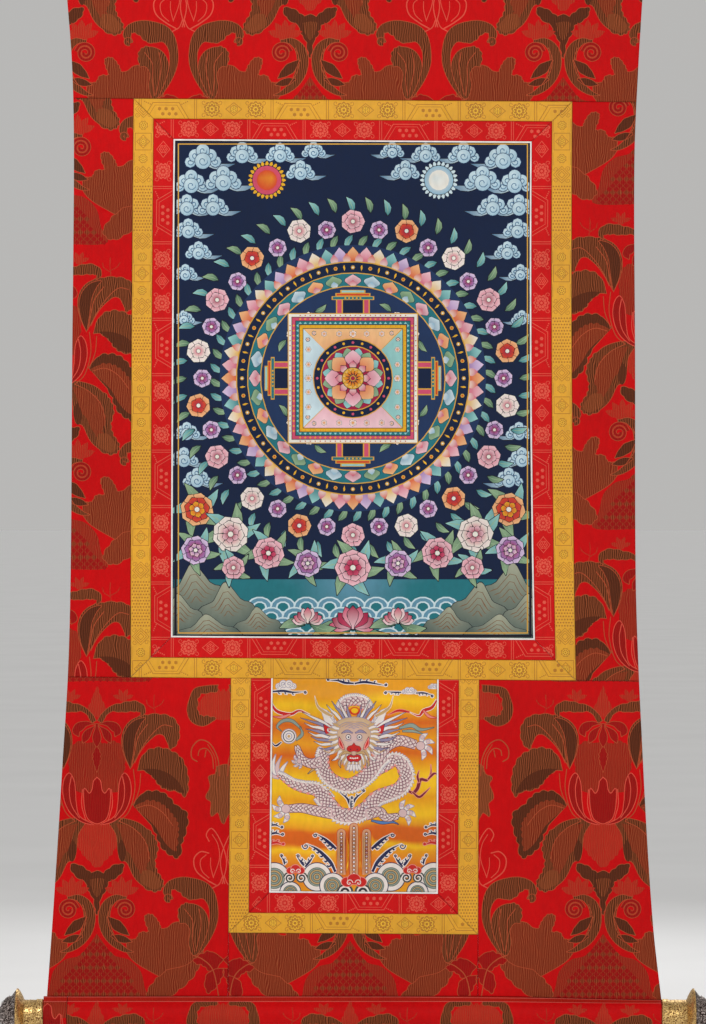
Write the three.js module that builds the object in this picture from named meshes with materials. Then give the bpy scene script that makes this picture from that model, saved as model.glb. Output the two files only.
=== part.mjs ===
// A hanging scroll: a painted cotton panel in a brocade mount, with a framed satin panel below it.
// A wooden rod with metal end knobs lies in the sleeve at the foot.
// Millimetres, +Z up. The origin is the middle of the top edge, in the plane of the cloth.
// The front faces -Y.
// Depths are measured down from the top edge, so a point at a depth has that height below the origin.
import * as THREE from "three";

// Driving sizes of the whole scroll
const ROLLER_LENGTH = 990;
const SCROLL_HEIGHT = 1450;
// The roller sits a little to the right of the cloth's middle.
const ROLLER_SHIFT = 2;

// Cloth
const CLOTH = 1.4;
const PIPING_THICK = 1.9;
const SEAM_GAP = 0.3;
const SIDE_HEM = 11;
const TOP_HEM = 26;
const HEM_STEP = 1.5;
const HEM_EXTRA = 1.1;

// Spacing of the sheets' points
const GROUND_STEP = { x: 36, depth: 36 };
const PAINTING_STEP = { x: 48, depth: 44 };
const SATIN_STEP = { x: 32, depth: 9 };
const PICTURE_STRIP_STEP = 40;
const DOOR_STRIP_STEP = 12;
const SLEEVE_STEP = 54;

// Borders round the painting and round the satin panel, from the outside inwards
const GOLD_WIDTH = 27.5;
const RED_WIDTH = 27.8;
const PIPING_WIDTH = 2.2;
const GOLD_END = GOLD_WIDTH;
const RED_END = GOLD_END + RED_WIDTH;
const PIPING_END = RED_END + PIPING_WIDTH;

// Half widths of the cloth at several depths, left and right of the middle
const OUTLINE = [
  { depth: 0, left: 395.4, right: 397.2 },
  { depth: 110, left: 387.1, right: 390.5 },
  { depth: 240, left: 384.5, right: 385.1 },
  { depth: 500, left: 386.8, right: 385.8 },
  { depth: 810, left: 389.2, right: 386.8 },
  { depth: 945, left: 392.8, right: 391.0 },
  { depth: 1120, left: 403.4, right: 399.6 },
  { depth: 1295, left: 414.6, right: 410.9 },
  { depth: 1388, left: 421.6, right: 421.5 },
];

// Outer corners of the two gold frames. A bow is how far an upright edge swings out at its middle.
// The satin panel's frame has no top strip: it is sewn straight to the large frame.
const PICTURE_FRAME = {
  topLeft: { x: -302.5, depth: 155.3 },
  topRight: { x: 299.7, depth: 159.4 },
  bottomLeft: { x: -306.6, depth: 950.0 },
  bottomRight: { x: 304.8, depth: 954.4 },
  leftBow: -1.0,
  rightBow: -3.0,
};
const DOOR_FRAME = {
  topLeft: { x: -169.0, depth: 951.0 },
  topRight: { x: 171.6, depth: 953.4 },
  bottomLeft: { x: -172.3, depth: 1300.6 },
  bottomRight: { x: 170.3, depth: 1303.0 },
  leftBow: 0,
  rightBow: 0,
};

// Sleeve, rod and end knobs
const SLEEVE_SEAM = { depth: 1388, dip: 5, dipFrom: 150, dipTo: 421.5 };
const ROD_RADIUS = 18;
const KNOB_RIM_RADIUS = 36.5;
const ROD_DEPTH = SCROLL_HEIGHT - KNOB_RIM_RADIUS;
const SLEEVE_LEFT = -426.0;
const SLEEVE_RIGHT = 421.7;
const CUFF_RIGHT = -393.4;
const RIM_PLANE = 464.5;
const KNOB_TIP = ROLLER_LENGTH / 2 - RIM_PLANE;
const CAP_SEAT = 8.4;
const ROD_END = RIM_PLANE - CAP_SEAT - SEAM_GAP;

// Soft folds of the hanging cloth: a rise is towards the front, a negative one is a trough.
// spreadX and spreadDepth are the distances at which the fold has fallen to about a third.
// The folds ease in below the top hem and out above the sleeve.
const TOP_EASE = 45;
const FOOT_EASE = 46;
const FOLDS = [
  { x: 0, depth: 60, spreadX: 420, spreadDepth: 34, rise: 2.2, turn: 1 },
  { x: 0, depth: 156, spreadX: 520, spreadDepth: 12, rise: -1.5, turn: 0.4 },
  { x: -372, depth: 322, spreadX: 26, spreadDepth: 60, rise: 3.2, turn: 0 },
  { x: 374, depth: 560, spreadX: 30, spreadDepth: 110, rise: 2.6, turn: 0 },
  { x: -376, depth: 760, spreadX: 28, spreadDepth: 90, rise: -2.4, turn: 0 },
  { x: -60, depth: 420, spreadX: 210, spreadDepth: 200, rise: 1.8, turn: 12 },
  { x: 0, depth: 952, spreadX: 520, spreadDepth: 14, rise: -1.6, turn: 0.4 },
  { x: -300, depth: 1040, spreadX: 150, spreadDepth: 46, rise: 4.6, turn: -4 },
  { x: 300, depth: 1032, spreadX: 150, spreadDepth: 50, rise: 5.0, turn: 5 },
  { x: -290, depth: 1172, spreadX: 140, spreadDepth: 58, rise: -4.2, turn: 3 },
  { x: 292, depth: 1180, spreadX: 150, spreadDepth: 60, rise: -4.6, turn: -4 },
  { x: -330, depth: 1300, spreadX: 90, spreadDepth: 40, rise: 2.8, turn: -8 },
  { x: 350, depth: 1306, spreadX: 90, spreadDepth: 44, rise: 3.2, turn: 9 },
  { x: -20, depth: 981, spreadX: 96, spreadDepth: 11, rise: 2.4, turn: 2 },
  { x: 24, depth: 1012, spreadX: 92, spreadDepth: 13, rise: -2.0, turn: -5 },
  { x: -46, depth: 1062, spreadX: 74, spreadDepth: 20, rise: 2.0, turn: 6 },
  { x: 60, depth: 1108, spreadX: 64, spreadDepth: 17, rise: 1.8, turn: -9 },
  { x: 0, depth: 1161, spreadX: 104, spreadDepth: 12, rise: 2.9, turn: -2 },
  { x: 6, depth: 1188, spreadX: 98, spreadDepth: 12, rise: -2.8, turn: 3 },
  { x: -34, depth: 1213, spreadX: 80, spreadDepth: 10, rise: 2.2, turn: -4 },
];

const finishes = {
  redBrocade: new THREE.MeshStandardMaterial({ color: 0xb81410, roughness: 0.55, metalness: 0 }),
  goldBrocade: new THREE.MeshStandardMaterial({ color: 0xd99a22, roughness: 0.5, metalness: 0 }),
  redBorder: new THREE.MeshStandardMaterial({ color: 0xc01818, roughness: 0.55, metalness: 0 }),
  piping: new THREE.MeshStandardMaterial({ color: 0xe9e2dc, roughness: 0.5, metalness: 0 }),
  painting: new THREE.MeshStandardMaterial({ color: 0x27405c, roughness: 0.8, metalness: 0 }),
  satin: new THREE.MeshStandardMaterial({ color: 0xe8940f, roughness: 0.35, metalness: 0 }),
  wood: new THREE.MeshStandardMaterial({ color: 0x8a5a33, roughness: 0.7, metalness: 0 }),
  brass: new THREE.MeshStandardMaterial({ color: 0xc79a45, roughness: 0.3, metalness: 1 }),
  agedBrass: new THREE.MeshStandardMaterial({ color: 0x6d5a48, roughness: 0.45, metalness: 1 }),
};

const scroll = new THREE.Group();

function addMesh(name, geometry, finish) {
  const mesh = new THREE.Mesh(geometry, finish);
  mesh.name = name;
  scroll.add(mesh);
  return mesh;
}

const mix = THREE.MathUtils.lerp;

// The value of a column of OUTLINE at a depth, on a smooth curve through its rows.
function outlineAt(column, depth) {
  const last = OUTLINE.length - 2;
  let row = OUTLINE.findIndex((r, i) => i > 0 && depth < r.depth) - 1;
  if (row < 0) row = last;
  const [before, from, to, after] = [row - 1, row, row + 1, row + 2].map(
    (i) => OUTLINE[THREE.MathUtils.clamp(i, 0, OUTLINE.length - 1)],
  );
  const span = to.depth - from.depth;
  const t = (depth - from.depth) / span;
  const slopeFrom = (to[column] - before[column]) / (to.depth - before.depth);
  const slopeTo = (after[column] - from[column]) / (after.depth - from.depth);
  const t2 = t * t;
  const t3 = t2 * t;
  return (
    (2 * t3 - 3 * t2 + 1) * from[column] +
    (t3 - 2 * t2 + t) * span * slopeFrom +
    (3 * t2 - 2 * t3) * to[column] +
    (t3 - t2) * span * slopeTo
  );
}

const clothLeft = (depth) => -outlineAt("left", depth);
const clothRight = (depth) => outlineAt("right", depth);

// A frame's outer edges as lines: left and right give x at a depth, top and bottom the depth at an x.
function frameLines(frame) {
  const { topLeft, topRight, bottomLeft, bottomRight, leftBow, rightBow } = frame;
  const upright = (top, bottom, bow) => (depth) => {
    const t = (depth - top.depth) / (bottom.depth - top.depth);
    return mix(top.x, bottom.x, t) + 4 * bow * t * (1 - t);
  };
  const level = (left, right) => (x) => mix(left.depth, right.depth, (x - left.x) / (right.x - left.x));
  return {
    left: upright(topLeft, bottomLeft, leftBow),
    right: upright(topRight, bottomRight, rightBow),
    top: level(topLeft, topRight),
    bottom: level(bottomLeft, bottomRight),
  };
}

const picture = frameLines(PICTURE_FRAME);
const door = frameLines(DOOR_FRAME);

// The sewn edge of the sleeve, which dips towards its right end.
function sleeveSeam(x) {
  const t = THREE.MathUtils.smoothstep(x, SLEEVE_SEAM.dipFrom, SLEEVE_SEAM.dipTo);
  return SLEEVE_SEAM.depth + SLEEVE_SEAM.dip * t;
}

// How far the cloth stands towards the front at a place.
function foldAt(x, depth) {
  let rise = 0;
  for (const fold of FOLDS) {
    const turn = THREE.MathUtils.degToRad(fold.turn);
    const dx = x - fold.x;
    const dz = depth - fold.depth;
    const along = (dx * Math.cos(turn) + dz * Math.sin(turn)) / fold.spreadX;
    const across = (dz * Math.cos(turn) - dx * Math.sin(turn)) / fold.spreadDepth;
    rise += fold.rise * Math.exp(-along * along - across * across);
  }
  // The folds run out at the flat top hem and above the sleeve, where the cloth is sewn down.
  const belowHem = THREE.MathUtils.smoothstep(depth, TOP_HEM + HEM_STEP, TOP_HEM + TOP_EASE);
  const aboveSleeve = 1 - THREE.MathUtils.smoothstep(depth, SLEEVE_SEAM.depth - FOOT_EASE, SLEEVE_SEAM.depth);
  return rise * belowHem * aboveSleeve;
}

// A closed slab between two grids of points, outer[row][column] and inner[row][column].
// Seen from outside, rows run down and columns run to the right.
function slab(name, outer, inner, finish) {
  const rows = outer.length;
  const columns = outer[0].length;
  const last = columns - 1;
  const positions = [...outer.flat(), ...inner.flat()].flatMap((p) => [p.x, p.y, p.z]);
  const front = (j, i) => j * columns + i;
  const back = (j, i) => rows * columns + j * columns + i;
  const index = [];
  const quad = (a, b, c, d) => index.push(a, b, c, a, c, d);
  for (let j = 0; j + 1 < rows; j++) {
    for (let i = 0; i + 1 < columns; i++) {
      quad(front(j, i), front(j + 1, i), front(j + 1, i + 1), front(j, i + 1));
      quad(back(j, i), back(j, i + 1), back(j + 1, i + 1), back(j + 1, i));
    }
  }
  for (let i = 0; i + 1 < columns; i++) {
    quad(front(0, i), front(0, i + 1), back(0, i + 1), back(0, i));
    quad(front(rows - 1, i), back(rows - 1, i), back(rows - 1, i + 1), front(rows - 1, i + 1));
  }
  for (let j = 0; j + 1 < rows; j++) {
    quad(front(j, 0), back(j, 0), back(j + 1, 0), front(j + 1, 0));
    quad(front(j, last), front(j + 1, last), back(j + 1, last), back(j, last));
  }
  const geometry = new THREE.BufferGeometry();
  geometry.setAttribute("position", new THREE.Float32BufferAttribute(positions, 3));
  geometry.setIndex(index);
  geometry.computeVertexNormals();
  return addMesh(name, geometry, finish);
}

// A flat hung piece on the folds. grid[row][column] holds x, depth and hem, 1 where cloth is turned back.
function hungSheet(name, grid, finish, thick = CLOTH) {
  const at = (side) =>
    grid.map((row) =>
      row.map(({ x, depth, hem = 0 }) => {
        const offset = side === "front" ? -thick / 2 : thick / 2 + hem * HEM_EXTRA;
        return new THREE.Vector3(x, offset - foldAt(x, depth), -depth);
      }),
    );
  return slab(name, at("front"), at("back"), finish);
}

// Fractions from 0 to 1 in steps of about the given size, with extra lines where a hem begins and ends.
function stations(length, step, hemAtStart = 0, hemAtEnd = 0) {
  const count = Math.max(1, Math.round(length / step));
  const even = Array.from({ length: count + 1 }, (_, i) => i / count);
  const edges = [];
  if (hemAtStart) edges.push(hemAtStart / length, (hemAtStart + HEM_STEP) / length);
  if (hemAtEnd) edges.push(1 - hemAtEnd / length, 1 - (hemAtEnd + HEM_STEP) / length);
  const isClear = (f) => edges.every((e) => Math.abs(f - e) * length > step / 3);
  const kept = even.filter((f) => f === 0 || f === 1 || isClear(f));
  return [...kept, ...edges].sort((a, b) => a - b);
}

// A panel between two upright lines and two level lines, drawn in by half a seam gap at each sewn side.
function panelGrid({ left, right, top, bottom, step = GROUND_STEP, hems = {}, sewn = {} }) {
  const half = SEAM_GAP / 2;
  const inset = (side) => (sewn[side] === false ? 0 : half);
  const midX = (left(top(0)) + right(top(0))) / 2;
  const height = bottom(midX) - top(midX);
  const width = right(top(midX)) - left(top(midX));
  const across = stations(width, step.x, hems.left, hems.right);
  const down = stations(height, step.depth, hems.top, 0);
  const inHem = (distance, hem) => hem > 0 && distance <= hem + 0.01;
  return down.map((t) =>
    across.map((s) => {
      let depth = mix(top(midX), bottom(midX), t);
      let x = midX;
      // Three rounds bring the crossing of the two slanting lines well inside a hundredth of a millimetre.
      for (let round = 0; round < 3; round++) {
        x = mix(left(depth) + inset("left"), right(depth) - inset("right"), s);
        depth = mix(top(x) + inset("top"), bottom(x) - inset("bottom"), t);
      }
      const folded =
        inHem(s * width, hems.left) || inHem((1 - s) * width, hems.right) || inHem(t * height, hems.top);
      return { x, depth, hem: folded ? 1 : 0 };
    }),
  );
}

// One strip of a frame, from inset `from` to inset `to`, mitred where it meets the strips beside it.
function stripGrid(lines, side, from, to, stepAlong, topLine) {
  const half = SEAM_GAP / 2;
  const insets = [from + half, to - half];
  const corner = (inset, upright, level) => {
    const sign = upright === "left" ? 1 : -1;
    let depth = level === "top" ? lines.top(0) : lines.bottom(0);
    let x = 0;
    for (let round = 0; round < 3; round++) {
      x = lines[upright](depth) + sign * inset;
      depth = level === "top" ? lines.top(x) + inset : lines.bottom(x) - inset;
    }
    return { x, depth };
  };
  // The mitre's own gap is taken off along the strip.
  const mitreGap = half * Math.SQRT2;
  const row = (inset) => {
    if (side === "top" || side === "bottom") {
      const start = corner(inset, "left", side).x + mitreGap;
      const end = corner(inset, "right", side).x - mitreGap;
      return stations(lines.right(0) - lines.left(0), stepAlong).map((s) => {
        const x = mix(start, end, s);
        const depth = side === "top" ? lines.top(x) + inset : lines.bottom(x) - inset;
        return { x, depth };
      });
    }
    const sign = side === "left" ? 1 : -1;
    const start = topLine ? null : corner(inset, side, "top").depth + mitreGap;
    const end = corner(inset, side, "bottom").depth - mitreGap;
    return stations(lines.bottom(0) - lines.top(0), stepAlong).map((s) => {
      const startHere = start ?? topLine(lines[side](end) + sign * inset) + half;
      const depth = mix(startHere, end, s);
      return { x: lines[side](depth) + sign * inset, depth };
    });
  };
  const lanes = insets.map(row);
  // Lanes run outside to inside. They are turned so that rows run down and columns to the right.
  if (side === "top") return lanes;
  if (side === "bottom") return lanes.reverse();
  const columns = side === "left" ? lanes : lanes.reverse();
  return columns[0].map((_, j) => columns.map((lane) => lane[j]));
}

// The ground cloth: one wide piece above, one beside each side of the painting, and three below
function buildGroundCloth() {
  const top = () => 0;
  const upperSeam = picture.top;
  const lowerSeam = picture.bottom;
  const pieces = [
    {
      name: "brocade_top",
      left: clothLeft,
      right: clothRight,
      top,
      bottom: upperSeam,
      hems: { left: SIDE_HEM, right: SIDE_HEM, top: TOP_HEM },
      sewn: { left: false, right: false, top: false },
    },
    {
      name: "brocade_left",
      left: clothLeft,
      right: picture.left,
      top: upperSeam,
      bottom: lowerSeam,
      hems: { left: SIDE_HEM },
      sewn: { left: false },
    },
    {
      name: "brocade_right",
      left: picture.right,
      right: clothRight,
      top: upperSeam,
      bottom: lowerSeam,
      hems: { right: SIDE_HEM },
      sewn: { right: false },
    },
    {
      name: "brocade_lower_left",
      left: clothLeft,
      right: door.left,
      top: lowerSeam,
      bottom: sleeveSeam,
      hems: { left: SIDE_HEM },
      sewn: { left: false },
    },
    {
      name: "brocade_lower_right",
      left: door.right,
      right: clothRight,
      top: lowerSeam,
      bottom: sleeveSeam,
      hems: { right: SIDE_HEM },
      sewn: { right: false },
    },
    {
      name: "brocade_lower_middle",
      left: door.left,
      right: door.right,
      top: door.bottom,
      bottom: sleeveSeam,
    },
  ];
  for (const { name, ...lines } of pieces) {
    hungSheet(name, panelGrid(lines), finishes.redBrocade);
  }
}

// The gold and red borders and the white piping of one frame
function buildFrame(prefix, lines, sides, stepAlong, topLine) {
  const bands = [
    { name: "gold", from: 0, to: GOLD_END, finish: finishes.goldBrocade, thick: CLOTH },
    { name: "red", from: GOLD_END, to: RED_END, finish: finishes.redBorder, thick: CLOTH },
    { name: "piping", from: RED_END, to: PIPING_END, finish: finishes.piping, thick: PIPING_THICK },
  ];
  for (const band of bands) {
    for (const side of sides) {
      const grid = stripGrid(lines, side, band.from, band.to, stepAlong, topLine);
      hungSheet(`${prefix}_${band.name}_${side}`, grid, band.finish, band.thick);
    }
  }
}

// The field inside a frame's piping
function buildField(name, lines, step, finish, topLine) {
  const grid = panelGrid({
    left: (depth) => lines.left(depth) + PIPING_END,
    right: (depth) => lines.right(depth) - PIPING_END,
    top: topLine ?? ((x) => lines.top(x) + PIPING_END),
    bottom: (x) => lines.bottom(x) - PIPING_END,
    step,
  });
  hungSheet(name, grid, finish);
}

// The sleeve's cloth: down the front from the seam, round the rod and up behind it to the seam again
function buildSleeve(name, fromX, toX) {
  const midRadius = ROD_RADIUS + SEAM_GAP + CLOTH / 2;
  const flapY = CLOTH / 2 + SEAM_GAP / 2;
  const lineSteps = 2;
  const arcSteps = 16;
  const leadSteps = 3;
  // From here round to the other side the arc's points stand at the same angles all along the sleeve.
  const steadyFrom = THREE.MathUtils.degToRad(48);
  const onArc = (angle) => ({ y: -midRadius * Math.sin(angle), z: midRadius * Math.cos(angle), angle });
  const sectionAt = (x) => {
    const rise = ROD_DEPTH - sleeveSeam(x) - SEAM_GAP / 2 - CLOTH / 2;
    const slant = Math.hypot(rise, flapY);
    const lean = Math.acos(midRadius / slant) + Math.atan2(flapY, rise);
    const front = [];
    const tangent = { y: -midRadius * Math.sin(lean), z: midRadius * Math.cos(lean) };
    for (let k = 0; k < lineSteps; k++) {
      const t = k / lineSteps;
      front.push({ y: mix(-flapY, tangent.y, t), z: mix(rise, tangent.z, t), angle: lean });
    }
    for (let k = 0; k < leadSteps; k++) {
      front.push(onArc(mix(lean, steadyFrom, k / leadSteps)));
    }
    const back = front.map(({ y, z, angle }) => ({ y: -y, z, angle: 2 * Math.PI - angle })).reverse();
    const arc = [];
    for (let k = 0; k <= arcSteps; k++) {
      arc.push(onArc(mix(steadyFrom, 2 * Math.PI - steadyFrom, k / arcSteps)));
    }
    return [...front, ...arc, ...back];
  };
  const along = stations(toX - fromX, SLEEVE_STEP).map((s) => mix(fromX, toX, s));
  const sections = along.map(sectionAt);
  const side = (offset) =>
    sections[0].map((_, j) =>
      along.map((x, i) => {
        const { y, z, angle } = sections[i][j];
        return new THREE.Vector3(
          x,
          y - offset * Math.sin(angle),
          z + offset * Math.cos(angle) - ROD_DEPTH,
        );
      }),
    );
  slab(name, side(CLOTH / 2), side(-CLOTH / 2), finishes.redBrocade);
}

function buildRod() {
  const rod = new THREE.CylinderGeometry(ROD_RADIUS, ROD_RADIUS, 2 * ROD_END, 40);
  rod.rotateZ(Math.PI / 2);
  addMesh("roller_rod", rod, finishes.wood).position.set(ROLLER_SHIFT, 0, -ROD_DEPTH);
}

// One end knob. Its profile runs outwards along the rod, measured from the plane of its widest rim.
function buildKnob(side, sign, ferruleLength) {
  const bore = ROD_RADIUS + SEAM_GAP;
  const turns = 36;
  const ferrule = [
    { r: bore, a: -ferruleLength },
    { r: 20.6, a: -ferruleLength },
    { r: 21.7, a: -ferruleLength + 1.2 },
    { r: 21.7, a: -ferruleLength + 9.0 },
    { r: 20.8, a: -ferruleLength + 10.2 },
    { r: 20.8, a: -10.5 },
    { r: 22.9, a: -8.8 },
    { r: 28.2, a: -6.6 },
    { r: 33.5, a: -3.6 },
    { r: KNOB_RIM_RADIUS, a: 0 },
    { r: 35.0, a: 1.0 },
    { r: bore, a: -CAP_SEAT - 0.2 },
    { r: bore, a: -ferruleLength },
  ];
  const cap = [
    { r: 0, a: -CAP_SEAT },
    { r: 18.0, a: -CAP_SEAT },
    { r: 34.3, a: 1.1 },
    { r: 31.5, a: 3.6 },
    { r: 27.0, a: 6.6 },
    { r: 25.6, a: 9.0 },
    { r: 25.2, a: 12.6 },
    { r: 22.6, a: 16.2 },
    { r: 17.7, a: 19.6 },
    { r: 11.8, a: 23.0 },
    { r: 7.6, a: 25.4 },
    { r: 5.0, a: 28.0 },
    { r: 2.6, a: KNOB_TIP - 0.6 },
    { r: 0, a: KNOB_TIP },
  ];
  const turned = (name, profile, finish) => {
    const points = profile.map(({ r, a }) => new THREE.Vector2(r, a));
    const geometry = new THREE.LatheGeometry(points, turns);
    const mesh = addMesh(name, geometry, finish);
    // The lathe's axis is +Y: it is turned to point outwards along the rod.
    mesh.rotation.z = (-sign * Math.PI) / 2;
    mesh.position.set(ROLLER_SHIFT + sign * RIM_PLANE, 0, -ROD_DEPTH);
  };
  turned(`ferrule_${side}`, ferrule, finishes.brass);
  turned(`knob_${side}`, cap, finishes.agedBrass);
}

buildGroundCloth();
buildFrame("picture", picture, ["top", "bottom", "left", "right"], PICTURE_STRIP_STEP);
buildFrame("door", door, ["left", "right", "bottom"], DOOR_STRIP_STEP, picture.bottom);
buildField("painting", picture, PAINTING_STEP, finishes.painting);
buildField("door_satin", door, SATIN_STEP, finishes.satin, picture.bottom);
buildSleeve("roller_sleeve", CUFF_RIGHT + SEAM_GAP / 2, SLEEVE_RIGHT);
buildSleeve("roller_cuff", SLEEVE_LEFT, CUFF_RIGHT - SEAM_GAP / 2);
buildRod();
buildKnob("left", -1, RIM_PLANE - ROLLER_SHIFT + SLEEVE_LEFT - SEAM_GAP);
buildKnob("right", 1, RIM_PLANE + ROLLER_SHIFT - SLEEVE_RIGHT - SEAM_GAP);

export default scroll;
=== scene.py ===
# A hanging scroll: a painted panel in a brocade mount, a framed satin panel below, and a roller with knobs.
import math

import bmesh
import bpy
import numpy as np
from mathutils import Matrix, Vector
from mathutils.geometry import delaunay_2d_cdt


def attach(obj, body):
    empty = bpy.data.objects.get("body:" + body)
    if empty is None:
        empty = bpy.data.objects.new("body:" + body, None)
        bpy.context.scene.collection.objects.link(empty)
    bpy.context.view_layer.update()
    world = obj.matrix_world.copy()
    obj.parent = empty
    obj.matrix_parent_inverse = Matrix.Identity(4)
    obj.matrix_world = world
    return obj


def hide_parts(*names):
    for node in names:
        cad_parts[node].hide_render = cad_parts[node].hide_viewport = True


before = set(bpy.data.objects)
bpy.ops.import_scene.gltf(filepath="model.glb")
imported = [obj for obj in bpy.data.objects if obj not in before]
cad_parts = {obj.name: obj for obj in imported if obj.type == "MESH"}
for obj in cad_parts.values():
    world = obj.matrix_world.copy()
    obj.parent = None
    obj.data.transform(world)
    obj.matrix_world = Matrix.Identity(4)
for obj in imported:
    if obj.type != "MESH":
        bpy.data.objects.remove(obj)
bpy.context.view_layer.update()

# Flat places are in millimetres: x to the right of the middle, depth down from the top edge.
MM = 0.001
ROLLER_SHIFT = 2.0
ROD_DEPTH = 1413.5
ROD_RADIUS = 18.0
RIM_PLANE = 464.5
RIM_RADIUS = 36.5
CLOTH = 1.4
SEAM_GAP = 0.3
SEWN_GAP = 0.04
SIDE_HEM = 11.0
TOP_HEM = 26.0
HEM_STEP = 1.5
HEM_EXTRA = 1.1
GOLD_END = 27.5
RED_END = 55.3
PIPING_END = 57.5
SLEEVE_LEFT = -426.0
SLEEVE_RIGHT = 421.7
CUFF_RIGHT = -393.4

# The photo's frame
PHOTO_WIDTH_PX = 706
PHOTO_HEIGHT_PX = 1024
MM_PER_PX = 1.373
MIDDLE_X_PX = 354.0
TOP_EDGE_PX = -14.6
CAMERA_AWAY = 6.0
SENSOR_HEIGHT = 36.0

OUTLINE = [
    # depth, left, right: half widths of the cloth
    (0, 395.4, 397.2),
    (110, 387.1, 390.5),
    (240, 384.5, 385.1),
    (500, 386.8, 385.8),
    (810, 389.2, 386.8),
    (945, 392.8, 391.0),
    (1120, 403.4, 399.6),
    (1295, 414.6, 410.9),
    (1388, 421.6, 421.5),
]

FOLDS = [
    # x, depth, spread_x, spread_depth, rise, turn: a rise is towards the front
    (0, 60, 420, 34, 2.2, 1),
    (0, 156, 520, 12, -1.5, 0.4),
    (-372, 322, 26, 60, 3.2, 0),
    (374, 560, 30, 110, 2.6, 0),
    (-376, 760, 28, 90, -2.4, 0),
    (-60, 420, 210, 200, 1.8, 12),
    (0, 952, 520, 14, -1.6, 0.4),
    (-300, 1040, 150, 46, 4.6, -4),
    (300, 1032, 150, 50, 5.0, 5),
    (-290, 1172, 140, 58, -4.2, 3),
    (292, 1180, 150, 60, -4.6, -4),
    (-330, 1300, 90, 40, 2.8, -8),
    (350, 1306, 90, 44, 3.2, 9),
    (-20, 981, 96, 11, 2.4, 2),
    (24, 1012, 92, 13, -2.0, -5),
    (-46, 1062, 74, 20, 2.0, 6),
    (60, 1108, 64, 17, 1.8, -9),
    (0, 1161, 104, 12, 2.9, -2),
    (6, 1188, 98, 12, -2.8, 3),
    (-34, 1213, 80, 10, 2.2, -4),
]
TOP_EASE = 45.0
FOOT_EASE = 46.0
SEAM_DEPTH = 1388.0
SEAM_DIP = 5.0
DIP_FROM = 150.0
DIP_TO = 421.5


def make_camera():
    centre_x = (PHOTO_WIDTH_PX / 2 - MIDDLE_X_PX) * MM_PER_PX * MM
    centre_z = -(PHOTO_HEIGHT_PX / 2 - TOP_EDGE_PX) * MM_PER_PX * MM
    data = bpy.data.cameras.new("camera")
    data.sensor_fit = "VERTICAL"
    data.sensor_height = SENSOR_HEIGHT
    data.lens = SENSOR_HEIGHT * CAMERA_AWAY / (PHOTO_HEIGHT_PX * MM_PER_PX * MM)
    camera = bpy.data.objects.new("camera", data)
    camera.location = (centre_x, -CAMERA_AWAY, centre_z)
    camera.rotation_euler = (math.pi / 2, 0, 0)
    bpy.context.collection.objects.link(camera)
    bpy.context.scene.camera = camera


make_camera()
bpy.ops.object.select_all(action="DESELECT")


# The hanging cloth's outline and folds, the same as the solids'

def smoothstep(value, low, high):
    t = np.clip((np.asarray(value, float) - low) / (high - low), 0, 1)
    return t * t * (3 - 2 * t)


def outline_at(column, depth):
    rows = np.array(OUTLINE, float)
    last = len(rows) - 1
    row = int(np.clip(np.searchsorted(rows[:, 0], depth, side="right") - 1, 0, last - 1))
    before, start, end, after = (rows[min(max(row + k, 0), last)] for k in (-1, 0, 1, 2))
    span = end[0] - start[0]
    t = (depth - start[0]) / span
    slope_start = (end[column] - before[column]) / (end[0] - before[0])
    slope_end = (after[column] - start[column]) / (after[0] - start[0])
    return (
        (2 * t**3 - 3 * t**2 + 1) * start[column]
        + (t**3 - 2 * t**2 + t) * span * slope_start
        + (3 * t**2 - 2 * t**3) * end[column]
        + (t**3 - t**2) * span * slope_end
    )


def cloth_left(depth):
    return -outline_at(1, depth)


def cloth_right(depth):
    return outline_at(2, depth)


class FrameLines:
    """The outer edges of a gold frame, each as a line drawn in by an inset."""

    def __init__(self, top_left, top_right, bottom_left, bottom_right, left_bow=0.0, right_bow=0.0):
        self.corners = (top_left, top_right, bottom_left, bottom_right)
        self.bows = (left_bow, right_bow)

    def upright(self, hand, depth):
        top, bottom = self.corners[hand], self.corners[hand + 2]
        t = (depth - top[1]) / (bottom[1] - top[1])
        return top[0] + (bottom[0] - top[0]) * t + 4 * self.bows[hand] * t * (1 - t)

    def level(self, row, x):
        left, right = self.corners[2 * row], self.corners[2 * row + 1]
        return left[1] + (right[1] - left[1]) * (x - left[0]) / (right[0] - left[0])

    def left(self, depth, inset=0.0):
        return self.upright(0, depth) + inset

    def right(self, depth, inset=0.0):
        return self.upright(1, depth) - inset

    def top(self, x, inset=0.0):
        return self.level(0, x) + inset

    def bottom(self, x, inset=0.0):
        return self.level(1, x) - inset


picture = FrameLines((-302.5, 155.3), (299.7, 159.4), (-306.6, 950.0), (304.8, 954.4), -1.0, -3.0)
door = FrameLines((-169.0, 951.0), (171.6, 953.4), (-172.3, 1300.6), (170.3, 1303.0))


def sleeve_seam(x):
    return SEAM_DEPTH + SEAM_DIP * smoothstep(x, DIP_FROM, DIP_TO)


def fold_at(x, depth):
    """How far the cloth stands towards the front."""
    x = np.asarray(x, float)
    depth = np.asarray(depth, float)
    rise = np.zeros_like(x)
    for fold_x, fold_depth, spread_x, spread_depth, height, turn in FOLDS:
        angle = math.radians(turn)
        dx = x - fold_x
        dz = depth - fold_depth
        along = (dx * math.cos(angle) + dz * math.sin(angle)) / spread_x
        across = (dz * math.cos(angle) - dx * math.sin(angle)) / spread_depth
        rise += height * np.exp(-along * along - across * across)
    below_hem = smoothstep(depth, TOP_HEM + HEM_STEP, TOP_HEM + TOP_EASE)
    above_sleeve = 1 - smoothstep(depth, SEAM_DEPTH - FOOT_EASE, SEAM_DEPTH)
    return rise * below_hem * above_sleeve


# Dyes, as seen in even light: red, green and blue out of 255, and how much of the figure weave shows

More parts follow.
